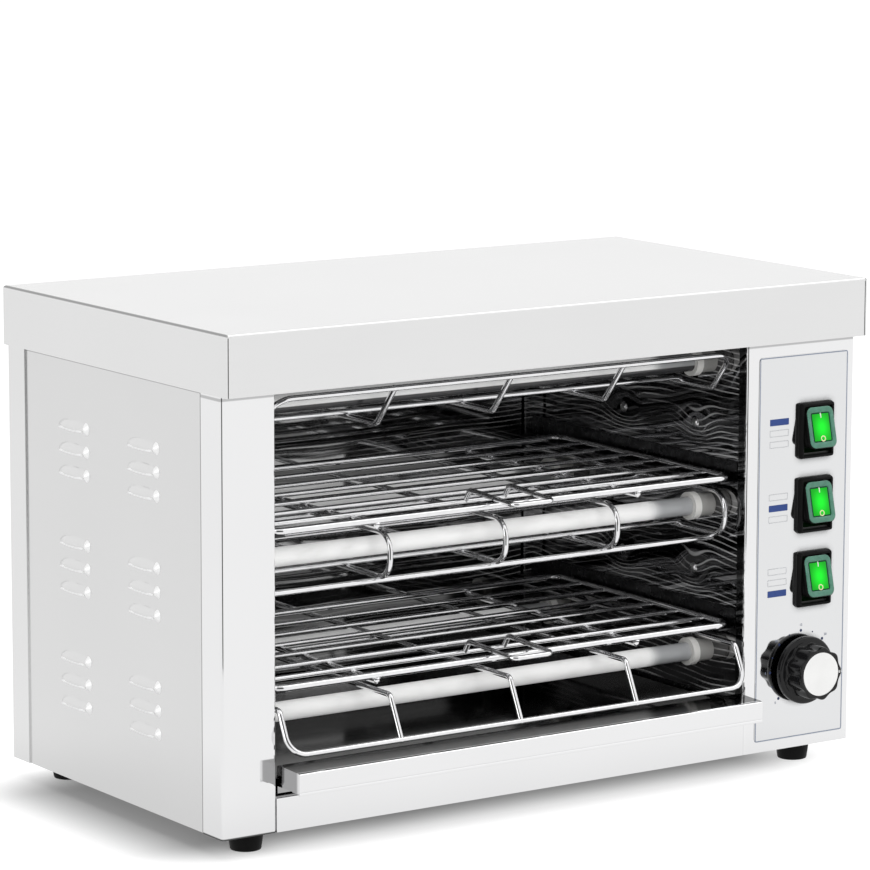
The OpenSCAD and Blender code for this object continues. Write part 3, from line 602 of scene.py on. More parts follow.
@dataclass(frozen=True)
class DrawnWire(Finish):
    """Bright drawn wire with faint marks from the die and a few dull spots."""

    cells: float = 160.0
    depth: float = 0.00005

    def paint(self, nodes: Nodes) -> Inputs:
        """Small clouds dull the wire here and there.

        Args:
            nodes: the material's nodes.

        Returns:
            The shader's inputs.
        """
        dull = nodes.noise(self.cells, 3)
        return {
            "Metallic": 1.0,
            "Base Color": self.shades(nodes, dull, 1.03, 0.9),
            "Roughness": self.rough(nodes, dull, (0.4, 0.8), (1, 2.2)),
            "Normal": nodes.bump(dull, self.depth, 0.4),
        }


@dataclass(frozen=True)
class MilkyQuartz(Finish):
    """White fused tube that clears towards its right end."""

    clear_from: float = 0.098
    clear_to: float = 0.114
    clear: Triple = (0.42, 0.43, 0.44)
    milk_roughness: float = 0.55
    # Strength of a painted glow on the white part, standing in for light that falls on the tubes.
    glow: float = 0.22
    blot: float = 0.16
    depth: float = 0.00003
    coat_above: float | None = None
    coat_fade: float = 0.0008
    bare: Triple = (0.05, 0.05, 0.052)

    def paint(self, nodes: Nodes) -> Inputs:
        """Streaks and soft blots of bubbles in the white, which ends near the right end of the tube. The white
        part glows, as painted light.

        Args:
            nodes: the material's nodes.

        Returns:
            The shader's inputs.
        """
        streaks = nodes.noise((60, 260, 260), 3)
        blots = nodes.ranged(nodes.noise((70, 90, 90), 4), 0.4, 0.75, 0.0, self.blot)
        white = self.shades(nodes, streaks, 0.88, 1.06)
        white = nodes.shaded(white, nodes.math("SUBTRACT", 1.0, blots))
        share = nodes.ranged(nodes.axis(Axis.X), self.clear_from, self.clear_to, 0.0, 1.0)
        colour = nodes.tint(share, white, self.clear)
        if self.coat_above is not None:
            edge = self.coat_above - self.coat_fade
            half = nodes.ranged(nodes.axis(Axis.Z), edge, self.coat_above, 1.0, 0.0)
            colour = nodes.tint(half, colour, self.bare)
            share = nodes.math("MAXIMUM", share, half)
        return {
            "Base Color": colour,
            "Roughness": nodes.ranged(share, 0.0, 1.0, self.milk_roughness, self.roughness),
            "Normal": nodes.bump(streaks, self.depth, 0.3),
            # Painted light: the white part glows; the glow fades out where the tube clears.
            "Emission Color": WHITE,
            "Emission Strength": nodes.ranged(share, 0.0, 1.0, self.glow, 0.0),
        }


@dataclass(frozen=True)
class Speckled(Finish):
    """A matt body with a fine grain: fired ceramic, moulded rubber or bare plastic."""

    cells: float = 1500.0
    cloud_cells: float = 60.0
    depth: float = 0.00004
    spread: float = 0.12
    gloss: float = 0.5

    def paint(self, nodes: Nodes) -> Inputs:
        """Fine grain in the normal, soft clouds in the colour and the roughness.

        Args:
            nodes: the material's nodes.

        Returns:
            The shader's inputs.
        """
        grain, clouds = nodes.noise(self.cells, 3), nodes.noise(self.cloud_cells, 3)
        return {
            "Base Color": self.shades(nodes, clouds, 1 - self.spread, 1 + self.spread),
            "Roughness": self.rough(nodes, clouds, (0.3, 0.7), (0.85, 1.15)),
            "Specular IOR Level": self.gloss,
            "Normal": nodes.bump(grain, self.depth, 0.6),
        }


@dataclass(frozen=True)
class FiredCap(Speckled):
    """Fired ceramic, white at the flange and stained where the sleeve meets the lining."""

    middle: float = 0.0
    stained_from: float = 0.18
    stain_fade: float = 0.001
    stain: float = 0.5

    def paint(self, nodes: Nodes) -> Inputs:
        """Adds the stain beyond a distance from the oven's middle.

        Args:
            nodes: the material's nodes.

        Returns:
            The shader's inputs.
        """
        plain = super().paint(nodes)
        away = nodes.distance((self.middle, 0, 0), (1, 0, 0))
        stain = nodes.ranged(away, self.stained_from, self.stained_from + self.stain_fade, 1.0, self.stain)
        return plain | {"Base Color": nodes.shaded(plain["Base Color"], stain)}


@dataclass(frozen=True)
class Metal(Finish):
    """Small metal parts with soft clouds of tarnish."""

    tarnish: Triple = (0.3, 0.3, 0.3)
    cells: float = 220.0

    def paint(self, nodes: Nodes) -> Inputs:
        """Tarnish gathers in clouds and roughens the metal.

        Args:
            nodes: the material's nodes.

        Returns:
            The shader's inputs.
        """
        clouds = nodes.noise(self.cells, 4)
        return {
            "Metallic": 1.0,
            "Base Color": nodes.tint(nodes.ranged(clouds, 0.45, 0.8, 0.0, 0.6), self.colour, self.tarnish),
            "Roughness": self.rough(nodes, clouds, (0.35, 0.8), (1, 1.8)),
        }


@dataclass(frozen=True)
class SpunCap(Finish):
    """A disc with the fine rings that a lathe leaves, which catch light in a fan."""

    centre: Triple = ZERO
    pitch: float = 0.00045
    depth: float = 0.000012
    cells: float = 90.0

    def paint(self, nodes: Nodes) -> Inputs:
        """Rings about the axis tilt the normal; the grain is stretched round the axis.

        Args:
            nodes: the material's nodes.

        Returns:
            The shader's inputs.
        """
        away = nodes.distance(self.centre, (1, 0, 1))
        rings = nodes.math("FRACT", nodes.math("DIVIDE", away, self.pitch))
        shift = nodes.vector("SUBTRACT", nodes.place(), self.centre)[0]
        return {
            "Metallic": 1.0,
            "Anisotropic": 0.75,
            "Base Color": self.shades(nodes, nodes.noise(self.cells, 2), 0.96, 1.02),
            "Normal": nodes.bump(nodes.math("PINGPONG", rings, 0.5), self.depth, 0.5),
            "Tangent": nodes.vector("CROSS_PRODUCT", shift, (0, 1, 0))[0],
        }


@dataclass(frozen=True)
class Ink(Finish):
    """Screen-printed ink with a slightly uneven cover."""

    slot: str = field(default="label_film", kw_only=True)
    cells: float = 700.0

    def paint(self, nodes: Nodes) -> Inputs:
        """Fine clouds thin the ink a little."""
        return {"Base Color": self.shades(nodes, nodes.noise(self.cells, 2), 0.9, 1.1)}


@dataclass(frozen=True)
class LitLens(Finish):
    """A green lens with a lamp behind it: brightest before the lamp, deeper at the edge."""

    glow: Triple = (0.008, 0.95, 0.03)
    edge: float = 0.36
    centres: tuple[Triple, ...] = ()
    reach: float = 0.0085
    gloss: float = 0.12
    depth: float = 0.0002

    def paint(self, nodes: Nodes) -> Inputs:
        """The glow falls off with the distance from the nearest lamp; prisms ripple the face.

        Args:
            nodes: the material's nodes.

        Returns:
            The shader's inputs.
        """
        near, *others = (nodes.distance(centre, (1, 0.2, 0.75)) for centre in self.centres)
        for away in others:
            near = nodes.math("MINIMUM", near, away)
        fall = nodes.ranged(near, 0.0, self.reach, 0.0, 1.0)
        return {
            "Emission Color": nodes.tint(fall, self.glow, tuple(self.edge * c for c in self.glow)),
            "Emission Strength": 1.0,
            "Specular IOR Level": self.gloss,
            "Normal": nodes.bump(nodes.noise((500, 80, 160), 1), self.depth, 0.3),
        }


@dataclass(frozen=True)
class ClearRubber(Finish):
    """Clear green rubber: pale where it is thick, darker where it is thin."""

    deep: Triple = (0.02, 0.12, 0.07)
    coat: float = 0.3
    gloss: float = 0.5
    cells: float = 200.0

    def paint(self, nodes: Nodes) -> Inputs:
        """Soft clouds of depth under a glossy coat.

        Args:
            nodes: the material's nodes.

        Returns:
            The shader's inputs.
        """
        thin = nodes.ranged(nodes.noise(self.cells, 2), 0.3, 0.7, 0.0, 0.35)
        return {
            "Base Color": nodes.tint(thin, self.colour, self.deep),
            "Coat Weight": self.coat,
            "Specular IOR Level": self.gloss,
            "Subsurface Weight": 0.2,
            "Subsurface Radius": (0.001, 0.002, 0.0015),
        }


# Studio


@dataclass(frozen=True)
class Zone:
    """A round part of the surroundings that mirrors see brighter or darker than the rest.

    It starts and is full at two cosines of the angle from its side's direction.
    """

    side: Triple
    start: float
    full: float
    level: float


@dataclass(frozen=True)
class Lamp:
    """A soft square lamp: its place, the point that it faces, its side and its power in watts."""

    name: str
    at: Triple
    aim: Triple
    size: float
    power: float


@dataclass
class Studio:
    """Pale floor, white surroundings, soft lamps and the camera."""

    camera_at: Triple = (-1.541474, -2.259348, 0.670687)
    camera_turn: Triple = (80.59315, -0.15093, -34.24459)
    lens: float = 180.0
    sensor: float = 36.0
    far: float = 100.0
    sky: float = 0.5
    dark: Zone = Zone((-0.56, -0.81, 0.12), 0.72, 0.97, 0.3)
    strip: Zone = Zone((0.56, -0.157, 0.81), 0.88, 0.95, 1.7)
    glint: Zone = Zone((-0.92, -0.38, 0.08), 0.88, 0.96, 2.4)
    floor_reach: float = 30.0
    floor_tone: float = 0.5
    floor_roughness: float = 0.9
    footprint: Triple = (0.2, 0.075, 0.0)
    footprint_at: Triple = (-0.03, 0.0, 0.0)
    lift_far: float = 0.85
    lift_reach: float = 0.08
    mirror_near: float = 0.85
    mirror_far: float = 1.0
    mirror_reach: float = 0.2
    left_dim: float = 0.96
    left_span: Pair = (-0.8, 0.1)
    card_away: float = 0.75
    card_aside: float = -0.075
    card_w: float = 0.55
    card_h: float = 0.62
    card_tone: float = 0.1
    lamps: tuple[Lamp, ...] = (
        Lamp("top_lamp", (-0.2, -0.35, 1.75), (0.0, 0.0, 0.2), 1.7, 11.0),
        Lamp("front_lamp", (-0.5, -2.2, 0.95), (0.0, 0.0, 0.15), 1.6, 20.0),
        Lamp("left_lamp", (-2.0, 0.1, 0.9), (0.0, 0.0, 0.15), 1.4, 9.0),
    )

    def build(self) -> None:
        """Makes the camera, the world, the floor, the card and the lamps."""
        bpy.context.scene.view_settings.view_transform = "Standard"
        self.add_camera()
        self.add_world()
        self.add_floor()
        self.add_card()
        for lamp in self.lamps:
            self.add_lamp(lamp)

    def add_camera(self) -> None:
        """Sets the camera where the photograph was taken from."""
        data = bpy.data.cameras.new("camera")
        data.lens, data.sensor_width, data.clip_end = self.lens, self.sensor, self.far
        camera = bpy.data.objects.new("camera", data)
        camera.location = self.camera_at
        camera.rotation_euler = Euler([math.radians(a) for a in self.camera_turn], "XYZ")
        bpy.context.scene.collection.objects.link(camera)
        bpy.context.scene.camera = camera

    def add_world(self) -> None:
        """White for the eye, white with three zones for mirrors, and a softer fill light.

        A zone's share grows with the dot product of the ray's direction and the zone's.
        """
        world = bpy.data.worlds.new("studio")
        world.use_nodes = True
        bpy.context.scene.world = world
        nodes = Nodes(world.node_tree)
        path = nodes.add("LightPath", {}).outputs
        ray = nodes.add("TexCoord", {}).outputs["Generated"]
        level = path["Is Glossy Ray"]
        for zone in (self.dark, self.strip, self.glint):
            toward = nodes.vector("DOT_PRODUCT", ray, tuple(Vector(zone.side).normalized()))["Value"]
            level = nodes.math("MULTIPLY", level, nodes.ranged(toward, zone.start, zone.full, 1.0, zone.level))
        shown = nodes.math("MAXIMUM", path["Is Camera Ray"], path["Is Transmission Ray"])
        fill = nodes.math("MULTIPLY", path["Is Diffuse Ray"], self.sky)
        strength = nodes.math("MAXIMUM", nodes.math("MAXIMUM", shown, level), fill)
        nodes.fill(nodes.tree.nodes["Background"], {"Color": WHITE, "Strength": strength})

    def sheet(self, name: str, corners: Sequence[Sequence[float]]) -> bpy.types.Object:
        """Makes a flat object with four corners and a look of its own.

        Args:
            name: its name.
            corners: its corners in order, in metres.

        Returns:
            The object.
        """
        mesh = bpy.data.meshes.new(name)
        mesh.from_pydata([tuple(c) for c in corners], [], [(0, 1, 2, 3)])
        look = bpy.data.materials.new(f"{name}_look")
        look.use_nodes = True
        mesh.materials.append(look)
        sheet = bpy.data.objects.new(name, mesh)
        bpy.context.scene.collection.objects.link(sheet)
        return sheet

    def add_floor(self) -> None:
        """A wide pale sheet under the feet that keeps the lamps' shadow and has a painted shadow too.

        Away from the footprint, by the distance from a rectangle, an emission lifts it towards white; near the
        footprint it stays darker, a painted shadow.
        """
        reach = self.floor_reach
        corners = [(-reach, -reach, 0), (reach, -reach, 0), (reach, reach, 0), (-reach, reach, 0)]
        floor = self.sheet("floor", corners)
        nodes = Nodes(floor.data.materials[0].node_tree)
        skin, output = (nodes.tree.nodes[name] for name in ("Principled BSDF", "Material Output"))
        path = nodes.add("LightPath", {}).outputs
        seen = nodes.math("MAXIMUM", path["Is Camera Ray"], path["Is Transmission Ray"])
        place = nodes.vector("ABSOLUTE", nodes.vector("SUBTRACT", nodes.place(), self.footprint_at)[0])[0]
        out = nodes.vector("MAXIMUM", nodes.vector("SUBTRACT", place, self.footprint)[0])[0]
        away = nodes.vector("LENGTH", out)["Value"]
        # Painted shadow: no lift at the footprint, full lift beyond the reach.
        lift = nodes.ranged(away, 0.0, self.lift_reach, 0.0, self.lift_far)
        nodes.fill(skin, {
            "Base Color": (*(self.floor_tone,) * 3, 1),
            "Roughness": self.floor_roughness,
            "Specular IOR Level": 0.0,
            "Emission Color": WHITE,
            "Emission Strength": nodes.math("MULTIPLY", seen, lift),
        })
        # Painted shadow in reflections: mirrors see the floor as an emission, darker near the footprint and
        # towards the left.
        level = nodes.ranged(away, 0.0, self.mirror_reach, self.mirror_near, self.mirror_far)
        dim = nodes.ranged(nodes.axis(Axis.X), *self.left_span, self.left_dim, 1.0)
        mirrored = nodes.add("Emission", {"Strength": nodes.math("MULTIPLY", level, dim)}).outputs[0]
        both = nodes.add("MixShader", {0: path["Is Glossy Ray"], 1: skin.outputs[0], 2: mirrored})
        nodes.fill(output, {"Surface": both.outputs[0]})

    def add_card(self) -> None:
        """A dark card beside the camera, seen only in reflections: it gives the bright metal its contrast."""
        side = Vector((*self.dark.side[:2], 0)).normalized()
        across = Vector((side.y, -side.x, 0))
        middle = side * self.card_away + across * self.card_aside
        half, top = across * self.card_w / 2, Vector((0, 0, self.card_h))
        card = self.sheet("dark_card", [middle - half, middle + half, middle + half + top, middle - half + top])
        nodes = Nodes(card.data.materials[0].node_tree)
        tone = nodes.add("Emission", {"Strength": self.card_tone}).outputs[0]
        nodes.fill(nodes.tree.nodes["Material Output"], {"Surface": tone})
        card.visible_camera = card.visible_diffuse = card.visible_shadow = False

    def add_lamp(self, lamp: Lamp) -> None:
        """Hangs a lamp that mirrors don't show.

        Args:
            lamp: what it is like.
        """
        data = bpy.data.lights.new(lamp.name, "AREA")
        data.shape, data.size, data.energy = "SQUARE", lamp.size, lamp.power
        light = bpy.data.objects.new(lamp.name, data)
        light.location = lamp.at
        light.rotation_euler = (Vector(lamp.aim) - Vector(lamp.at)).to_track_quat("-Z", "Y").to_euler()
        light.visible_glossy = light.visible_camera = False
        bpy.context.scene.collection.objects.link(light)


# The grill's own pieces


@dataclass
class Dressing:
    """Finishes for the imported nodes, by the record's slots, with the grain set for each sheet."""

    steel: Triple = (0.8, 0.8, 0.8)
    # Painted shade: the side panels are the casing steel made darker, as they get less light.
    side: Triple = (0.74, 0.74, 0.74)
    bright: Triple = (0.86, 0.86, 0.865)
    # Painted shade: the lining is bright steel, given a dark colour for the cavity's shade; the back wall's copy
    # is a little lighter.
    lining: Triple = (0.22, 0.22, 0.225)
    shade_back: Triple = (0.3, 0.3, 0.3)
    milk: Triple = (0.9, 0.9, 0.89)
    satin: float = 0.22
    polish: float = 0.06
    quartz: float = 0.08
    fine: float = 0.0000005
    seam_x: float = 144.0
    rivet_r: float = 3.5
    sleeve: float = 12.0
    fold: float = 0.6
    lap: float = 1.5
    under: float = 0.2
    below: float = 2.2
    flange: float = 6.0
    tray_dull: Pair = (1.2, 4.0)
    coat_low: float = 1.0

    def finishes(self) -> dict[str, Finish]:
        """Makes one finish for each slot of the record.

        Returns:
            Finishes by slot.
        """
        low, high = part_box("liner_rivets")
        r = self.rivet_r * MM
        rivets = tuple((y, z) for y in (low.y + r, high.y - r) for z in (low.z + r, high.z - r))
        left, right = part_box("left_liner")[1].x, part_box("right_liner")[0].x
        stained = (right - left) / 2 - self.sleeve * MM
        knob = middle_of("control_knob")
        lamps = tuple(tuple(middle_of(f"{level.word}_rocker_cover")) for level in Level)
        made = (
            RolledSteel("casing_steel", self.steel, self.satin),
            RolledSteel("polished_steel", self.bright, self.polish, Axis.Z, depth=self.fine),
            MirrorSheet("mirror_lining", self.lining, 0.018, rivets),
            Metal("dark_steel", (0.07, 0.07, 0.072), 0.25, (0.02, 0.02, 0.02)),
            DrawnWire("bright_wire", (0.88, 0.88, 0.89), 0.08),
            Metal("small_steel", (0.7, 0.7, 0.7), 0.22),
            MilkyQuartz("quartz", self.milk, self.quartz),
            FiredCap(
                "ceramic", (0.86, 0.85, 0.82), 0.6, cells=900, spread=0.04,
                middle=(left + right) / 2, stained_from=stained,
            ),
            Metal("coil_wire", (0.35, 0.32, 0.3), 0.4, (0.12, 0.1, 0.09)),
            Metal("terminal_brass", (0.75, 0.58, 0.28), 0.25, (0.35, 0.24, 0.12)),
            RolledSteel("label_film", (0.785, 0.79, 0.797), 0.05, Axis.Z, depth=self.fine),
            Speckled(
                "knob_plastic", (0.006, 0.006, 0.0065), 0.12, cells=2500, depth=0.00001, spread=0.2, gloss=0.3
            ),
            SpunCap("knob_metal", (0.93, 0.93, 0.92), 0.25, (knob.x, 0.0, knob.z)),
            Speckled("timer_case", (0.16, 0.16, 0.17), 0.5),
            Speckled("switch_plastic", (0.012, 0.012, 0.012), 0.35),
            Speckled("boot_rubber", (0.005, 0.005, 0.005), 0.55, cells=1800, depth=0.00002, gloss=0.1),
            LitLens("lit_green", (0.01, 0.1, 0.01), 0.2, centres=lamps),
            ClearRubber("green_cover", (0.09, 0.27, 0.19), 0.3),
        )
        return {finish.name: finish for finish in made}

    def own(self) -> dict[str, Finish]:
        """Makes the finishes of the nodes that differ from their slot, with the grain along the sheet.

        Returns:
            Finishes by node.
        """
        lid_low, lid_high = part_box("top_cover")
        column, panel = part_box("left_column"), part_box("control_panel")
        fold, up = self.fold * MM, (0.0, 0.0, 1.0)
        # Painted dark lines: dark reflection along the lid's top folds, and shade at the side panels' lap, under
        # the lid, at the column's foot and by the panel's flange.
        folds = tuple(
            Line((x, 0.0, lid_high.z - fold), (1.0, 0.0, 1.0)) for x in (lid_low.x + fold, lid_high.x - fold)
        )
        lap = Line((0.0, column[1].y + self.lap * MM, 0.0), (0.0, 1.0, 0.0))
        under = Line((0.0, 0.0, lid_low.z - self.under * MM), up)
        below = Line((0.0, 0.0, lid_low.z - self.below * MM), up, 0.6)
        foot = Line((0.0, 0.0, column[0].z), up, 0.1)
        flange = Line((panel[0].x, panel[0].y + self.flange * MM, 0.0), (2.2, 0.22, 0.0), 0.1)
        # The side panels take the darker side colour: painted shade.
        side = LinedSheet("casing_side", self.side, self.satin, Axis.Y, seam=0.0, lines=(lap, under))
        post, front = (
            LinedSheet(name, self.bright, self.polish, Axis.Z, depth=self.fine, seam=0.0, lines=(below, line))
            for name, line in (("polished_post", foot), ("polished_panel", flange))
        )
        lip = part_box("crumb_tray")[0].y
        # Span behind the lip over which the tray's painted inside shade comes in.
        start, end = (lip + d * MM for d in self.tray_dull)
        tubes = ("top_front_tube", "top_rear_tube")
        coat = middle_of(tubes[0]).z - self.coat_low * MM
        half = MilkyQuartz("quartz_half", self.milk, self.quartz, coat_above=coat)
        return {
            "left_side_panel": side,
            "right_side_panel": side,
            "lower_rail": RolledSteel("polished_rail", self.bright, self.polish, depth=self.fine, seam=0.0),
            "crumb_tray": TraySheet(
                "crumb_tray", self.bright, 0.08, seam=0.0, inside_from=start, inside_to=end, slot="polished_steel"
            ),
            "top_cover": LinedSheet("casing_lid", self.steel, self.satin, lines=folds),
            "back_liner": MirrorSheet(
                "mirror_back", self.shade_back, 0.03, seam_x=self.seam_x * MM, line_share=0.5
            ),
            "left_column": post,
            "control_panel": front,
            "rear_panel": RolledSteel("casing_rear", self.steel, self.satin, seam=0.0),
            **dict.fromkeys(tubes, half),
        }

    def dress(self, finishes: dict[str, Finish], own: dict[str, Finish]) -> None:
        """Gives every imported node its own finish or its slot's.

        Args:
            finishes: finishes by slot.
            own: finishes by node.
        """
        for name, node in frame["nodes"].items():
            finish = own.get(name) or finishes[node.material_slots[0].name]
            node.material_slots[0].material = finish.material()
            log.info("%s: %s", name, finish.name)


@dataclass
class RockerSwitch:
    """One sealed rocker: a rubber boot on the panel, and a tipping skirt, frame and lit lens.

    The boot is a leaning wall with a rounded rim. The skirt is the black wall of the rocker's cover, with
    one groove. The clear green frame is rounded outside and bevelled inside, the well is the dark floor
    between frame and lens, and the lens is crowned towards its middle.
    """

    level: Level
    boot_size: Pair = (27.4, 36.2)
    boot_corner: float = 2.0
    cover_size: Pair = (22.0, 27.0)
    cover_corner: float = 4.6
    lens_corner: float = 1.0
    tilt: float = -13.0
    front_to_pivot: float = 3.0
    mark_up: float = 7.6
    mark_down: float = -7.3
    line_size: Pair = (0.75, 3.3)
    line_corner: float = 0.35
    ring_steps: int = 28
    boot: Profile = (
        (0, 0, 1.45), (0.1, 0.1, 2.0), (0.6, 0.6, 3.6), (0.85, 0.85, 4.05), (1.25, 1.25, 4.25),
        (2.1, 2.0, 4.25), (2.4, 2.3, 4.0), (2.4, 2.3, 1.45),
    )
    skirt: Profile = (
        (0.05, 1.3, 3.0), (0.0, 0.6, 6.6), (0.25, 0.65, 7.0), (0.25, 0.5, 7.5), (0.0, 0.15, 7.9),
        (0, 0, 10.5), (0.15, 0.15, 10.75), (0.35, 0.35, 10.8), (1.2, 1.2, 9.9), (1.2, 2.3, 3.0),
    )
    frame: Profile = (
        (0.9, 0.9, 9.6), (0.3, 0.3, 10.7), (0.35, 0.35, 10.95), (0.55, 0.55, 11.14),
        (0.9, 0.9, 11.24), (2.6, 3.4, 11.2), (3.2, 3.9, 10.9), (3.4, 4.1, 10.5), (3.4, 4.1, 9.6),
    )
    well: Profile = ((1.7, 2.7, 9.9), (1.7, 2.7, 10.6), (4.4, 4.9, 10.55), (4.4, 4.9, 9.9))
    lens: Profile = (
        (4.3, 4.8, 9.9), (4.3, 4.8, 10.6), (4.45, 4.95, 10.85), (4.9, 5.4, 10.98), (7, 8, 11.05),
        (9.5, 12, 11.08),
    )
    on_line: Profile = ((0, 0, 10.5), (0, 0, 11.12), (0.1, 0.1, 11.16))
    off_ring: Profile = (
        (1.95, 10.4, 0), (1.95, 11.1, 0), (1.8, 11.16, 0), (1.4, 11.16, 0), (1.25, 11.1, 0), (1.25, 10.4, 0),
    )

    def wall(self, profile: Profile) -> Skin:
        """A closed profile carried round the rocker's cover."""
        return lofted(framed(profile, self.cover_size, self.cover_corner), ring=True)

    def build(self, finishes: dict[str, Finish]) -> None:
        """Makes the switch's pieces.

        Args:
            finishes: finishes by slot.
        """
        word = self.level.word
        middle, front = middle_of(f"{word}_switch_boot"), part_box("control_panel")[0].y
        boot = lofted(framed(self.boot, self.boot_size, self.boot_corner), ring=True)
        boot = boot.shifted((middle.x, front, middle.z))
        make_piece(f"{word}_boot", boot, finishes["boot_rubber"], "casing", [f"{word}_switch_boot"])
        pivot = (middle.x, front + self.front_to_pivot * MM, middle.z)
        lens = lofted(framed(self.lens, self.cover_size, self.lens_corner), caps=True)
        line = lofted(framed(self.on_line, self.line_size, self.line_corner), caps=True)
        ring = lofted(turned(self.off_ring, self.ring_steps), ring=True)
        deep = ClearRubber("green_well", (0.004, 0.035, 0.02), 0.4, coat=0.0, gloss=0.15, slot="green_cover")
        white, cream = Ink("white_ink", (0.85, 0.87, 0.82), 0.4), Ink("cream_ink", (0.86, 0.85, 0.5), 0.4)
        cover = [f"{word}_rocker_cover"]
        rows = (
            ("skirt", self.wall(self.skirt), finishes["boot_rubber"], cover),
            ("frame", self.wall(self.frame), finishes["green_cover"], cover),
            ("well", self.wall(self.well), deep, []),
            ("lens", lens, finishes["lit_green"], cover),
            ("on_line", line.shifted((0, 0, self.mark_up * MM)), white, []),
            ("off_ring", ring.shifted((0, 0, self.mark_down * MM)), cream, []),
        )
        for part, skin, finish, stood in rows:
            make_piece(f"{word}_{part}", skin.tipped(self.tilt).shifted(pivot), finish, f"{word}_rocker", stood)


@dataclass
class TimerKnob:
    """The fluted knob with its skirt, spun cap and pointer lines.

    The grip is one profile turned about the axis: skirt, flutes and the cap's seat. The cap has a rim with
    a small round edge and a face that crowns slightly.
    """

    flutes: int = 9
    steps: int = 180
    line_w: float = 1.7
    line_t: float = 0.16
    grip: Profile = (
        (3.1, 19.5, 0), (3.1, 3.0, 0), (21.3, 3.0, 0), (21.8, 3.25, 0), (22.0, 3.7, 0), (22.0, 6.3, 0),
        (21.7, 6.9, 0), (20.9, 7.45, 0), (19.2, 7.5, 0), (18.3, 7.6, 0.6), (17.95, 8.0, 1.3),
        (17.8, 8.7, 1.6), (17.65, 14.0, 1.6), (17.5, 19.9, 1.6), (17.3, 20.55, 1.5), (16.8, 20.9, 1.2),
        (16.0, 21.0, 0.6), (14.5, 21.0, 0), (14.25, 20.85, 0), (14.25, 19.5, 0),
    )
    cap: Profile = (
        (14.2, 19.6, 0), (14.2, 20.9, 0), (14.05, 21.15, 0), (13.7, 21.28, 0), (12.5, 21.31, 0),
        (6, 21.34, 0), (2, 21.35, 0),
    )
    front_run: tuple[Pair, ...] = ((14.6, 20.9), (17.0, 20.75), (17.55, 20.3), (17.62, 19.7))
    skirt_run: tuple[Pair, ...] = ((19.0, 7.3), (20.8, 7.3), (21.7, 6.75), (22.02, 6.2))

    def bar(self, run: Sequence[Pair]) -> Skin:
        """A flat bar towards +X: a rectangle carried along a path, square to the path's slope.

        Args:
            run: the path's radii and distances out.

        Returns:
            The bar about the knob's axis.
        """
        path, half = np.array(run), self.line_w / 2
        edge = np.gradient(path, axis=0)
        away = np.stack([-edge[:, 1], edge[:, 0]], axis=-1)
        away *= self.line_t / np.linalg.norm(away, axis=1)[:, None]
        corners = [(path + away, half), (path + away, -half), (path - away, -half), (path - away, half)]
        loops = [np.stack([p[:, 0], -p[:, 1], np.full(len(p), h)], axis=-1) for p, h in corners]
        return lofted(np.stack(loops, axis=1) * MM, caps=True)

    def build(self, finishes: dict[str, Finish]) -> None:
        """Makes the knob's pieces.

        Args:
            finishes: finishes by slot.
        """
        middle = middle_of("control_knob")
        place = (middle.x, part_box("control_label")[0].y, middle.z)
        grip = lofted(turned(self.grip, self.steps, self.flutes), ring=True)
        cap = lofted(turned(self.cap, self.steps), caps=True)
        pointer = Skin.joined([self.bar(self.front_run), self.bar(self.skirt_run)])
        ink = Ink("pointer_ink", (0.9, 0.9, 0.9), 0.4)
        make_piece("knob_grip", grip.shifted(place), finishes["knob_plastic"], "timer_knob", ["control_knob"])
        make_piece("knob_disc", cap.shifted(place), finishes["knob_metal"], "timer_knob", ["knob_cap"])
        make_piece("knob_pointer", pointer.shifted(place), ink, "timer_knob")


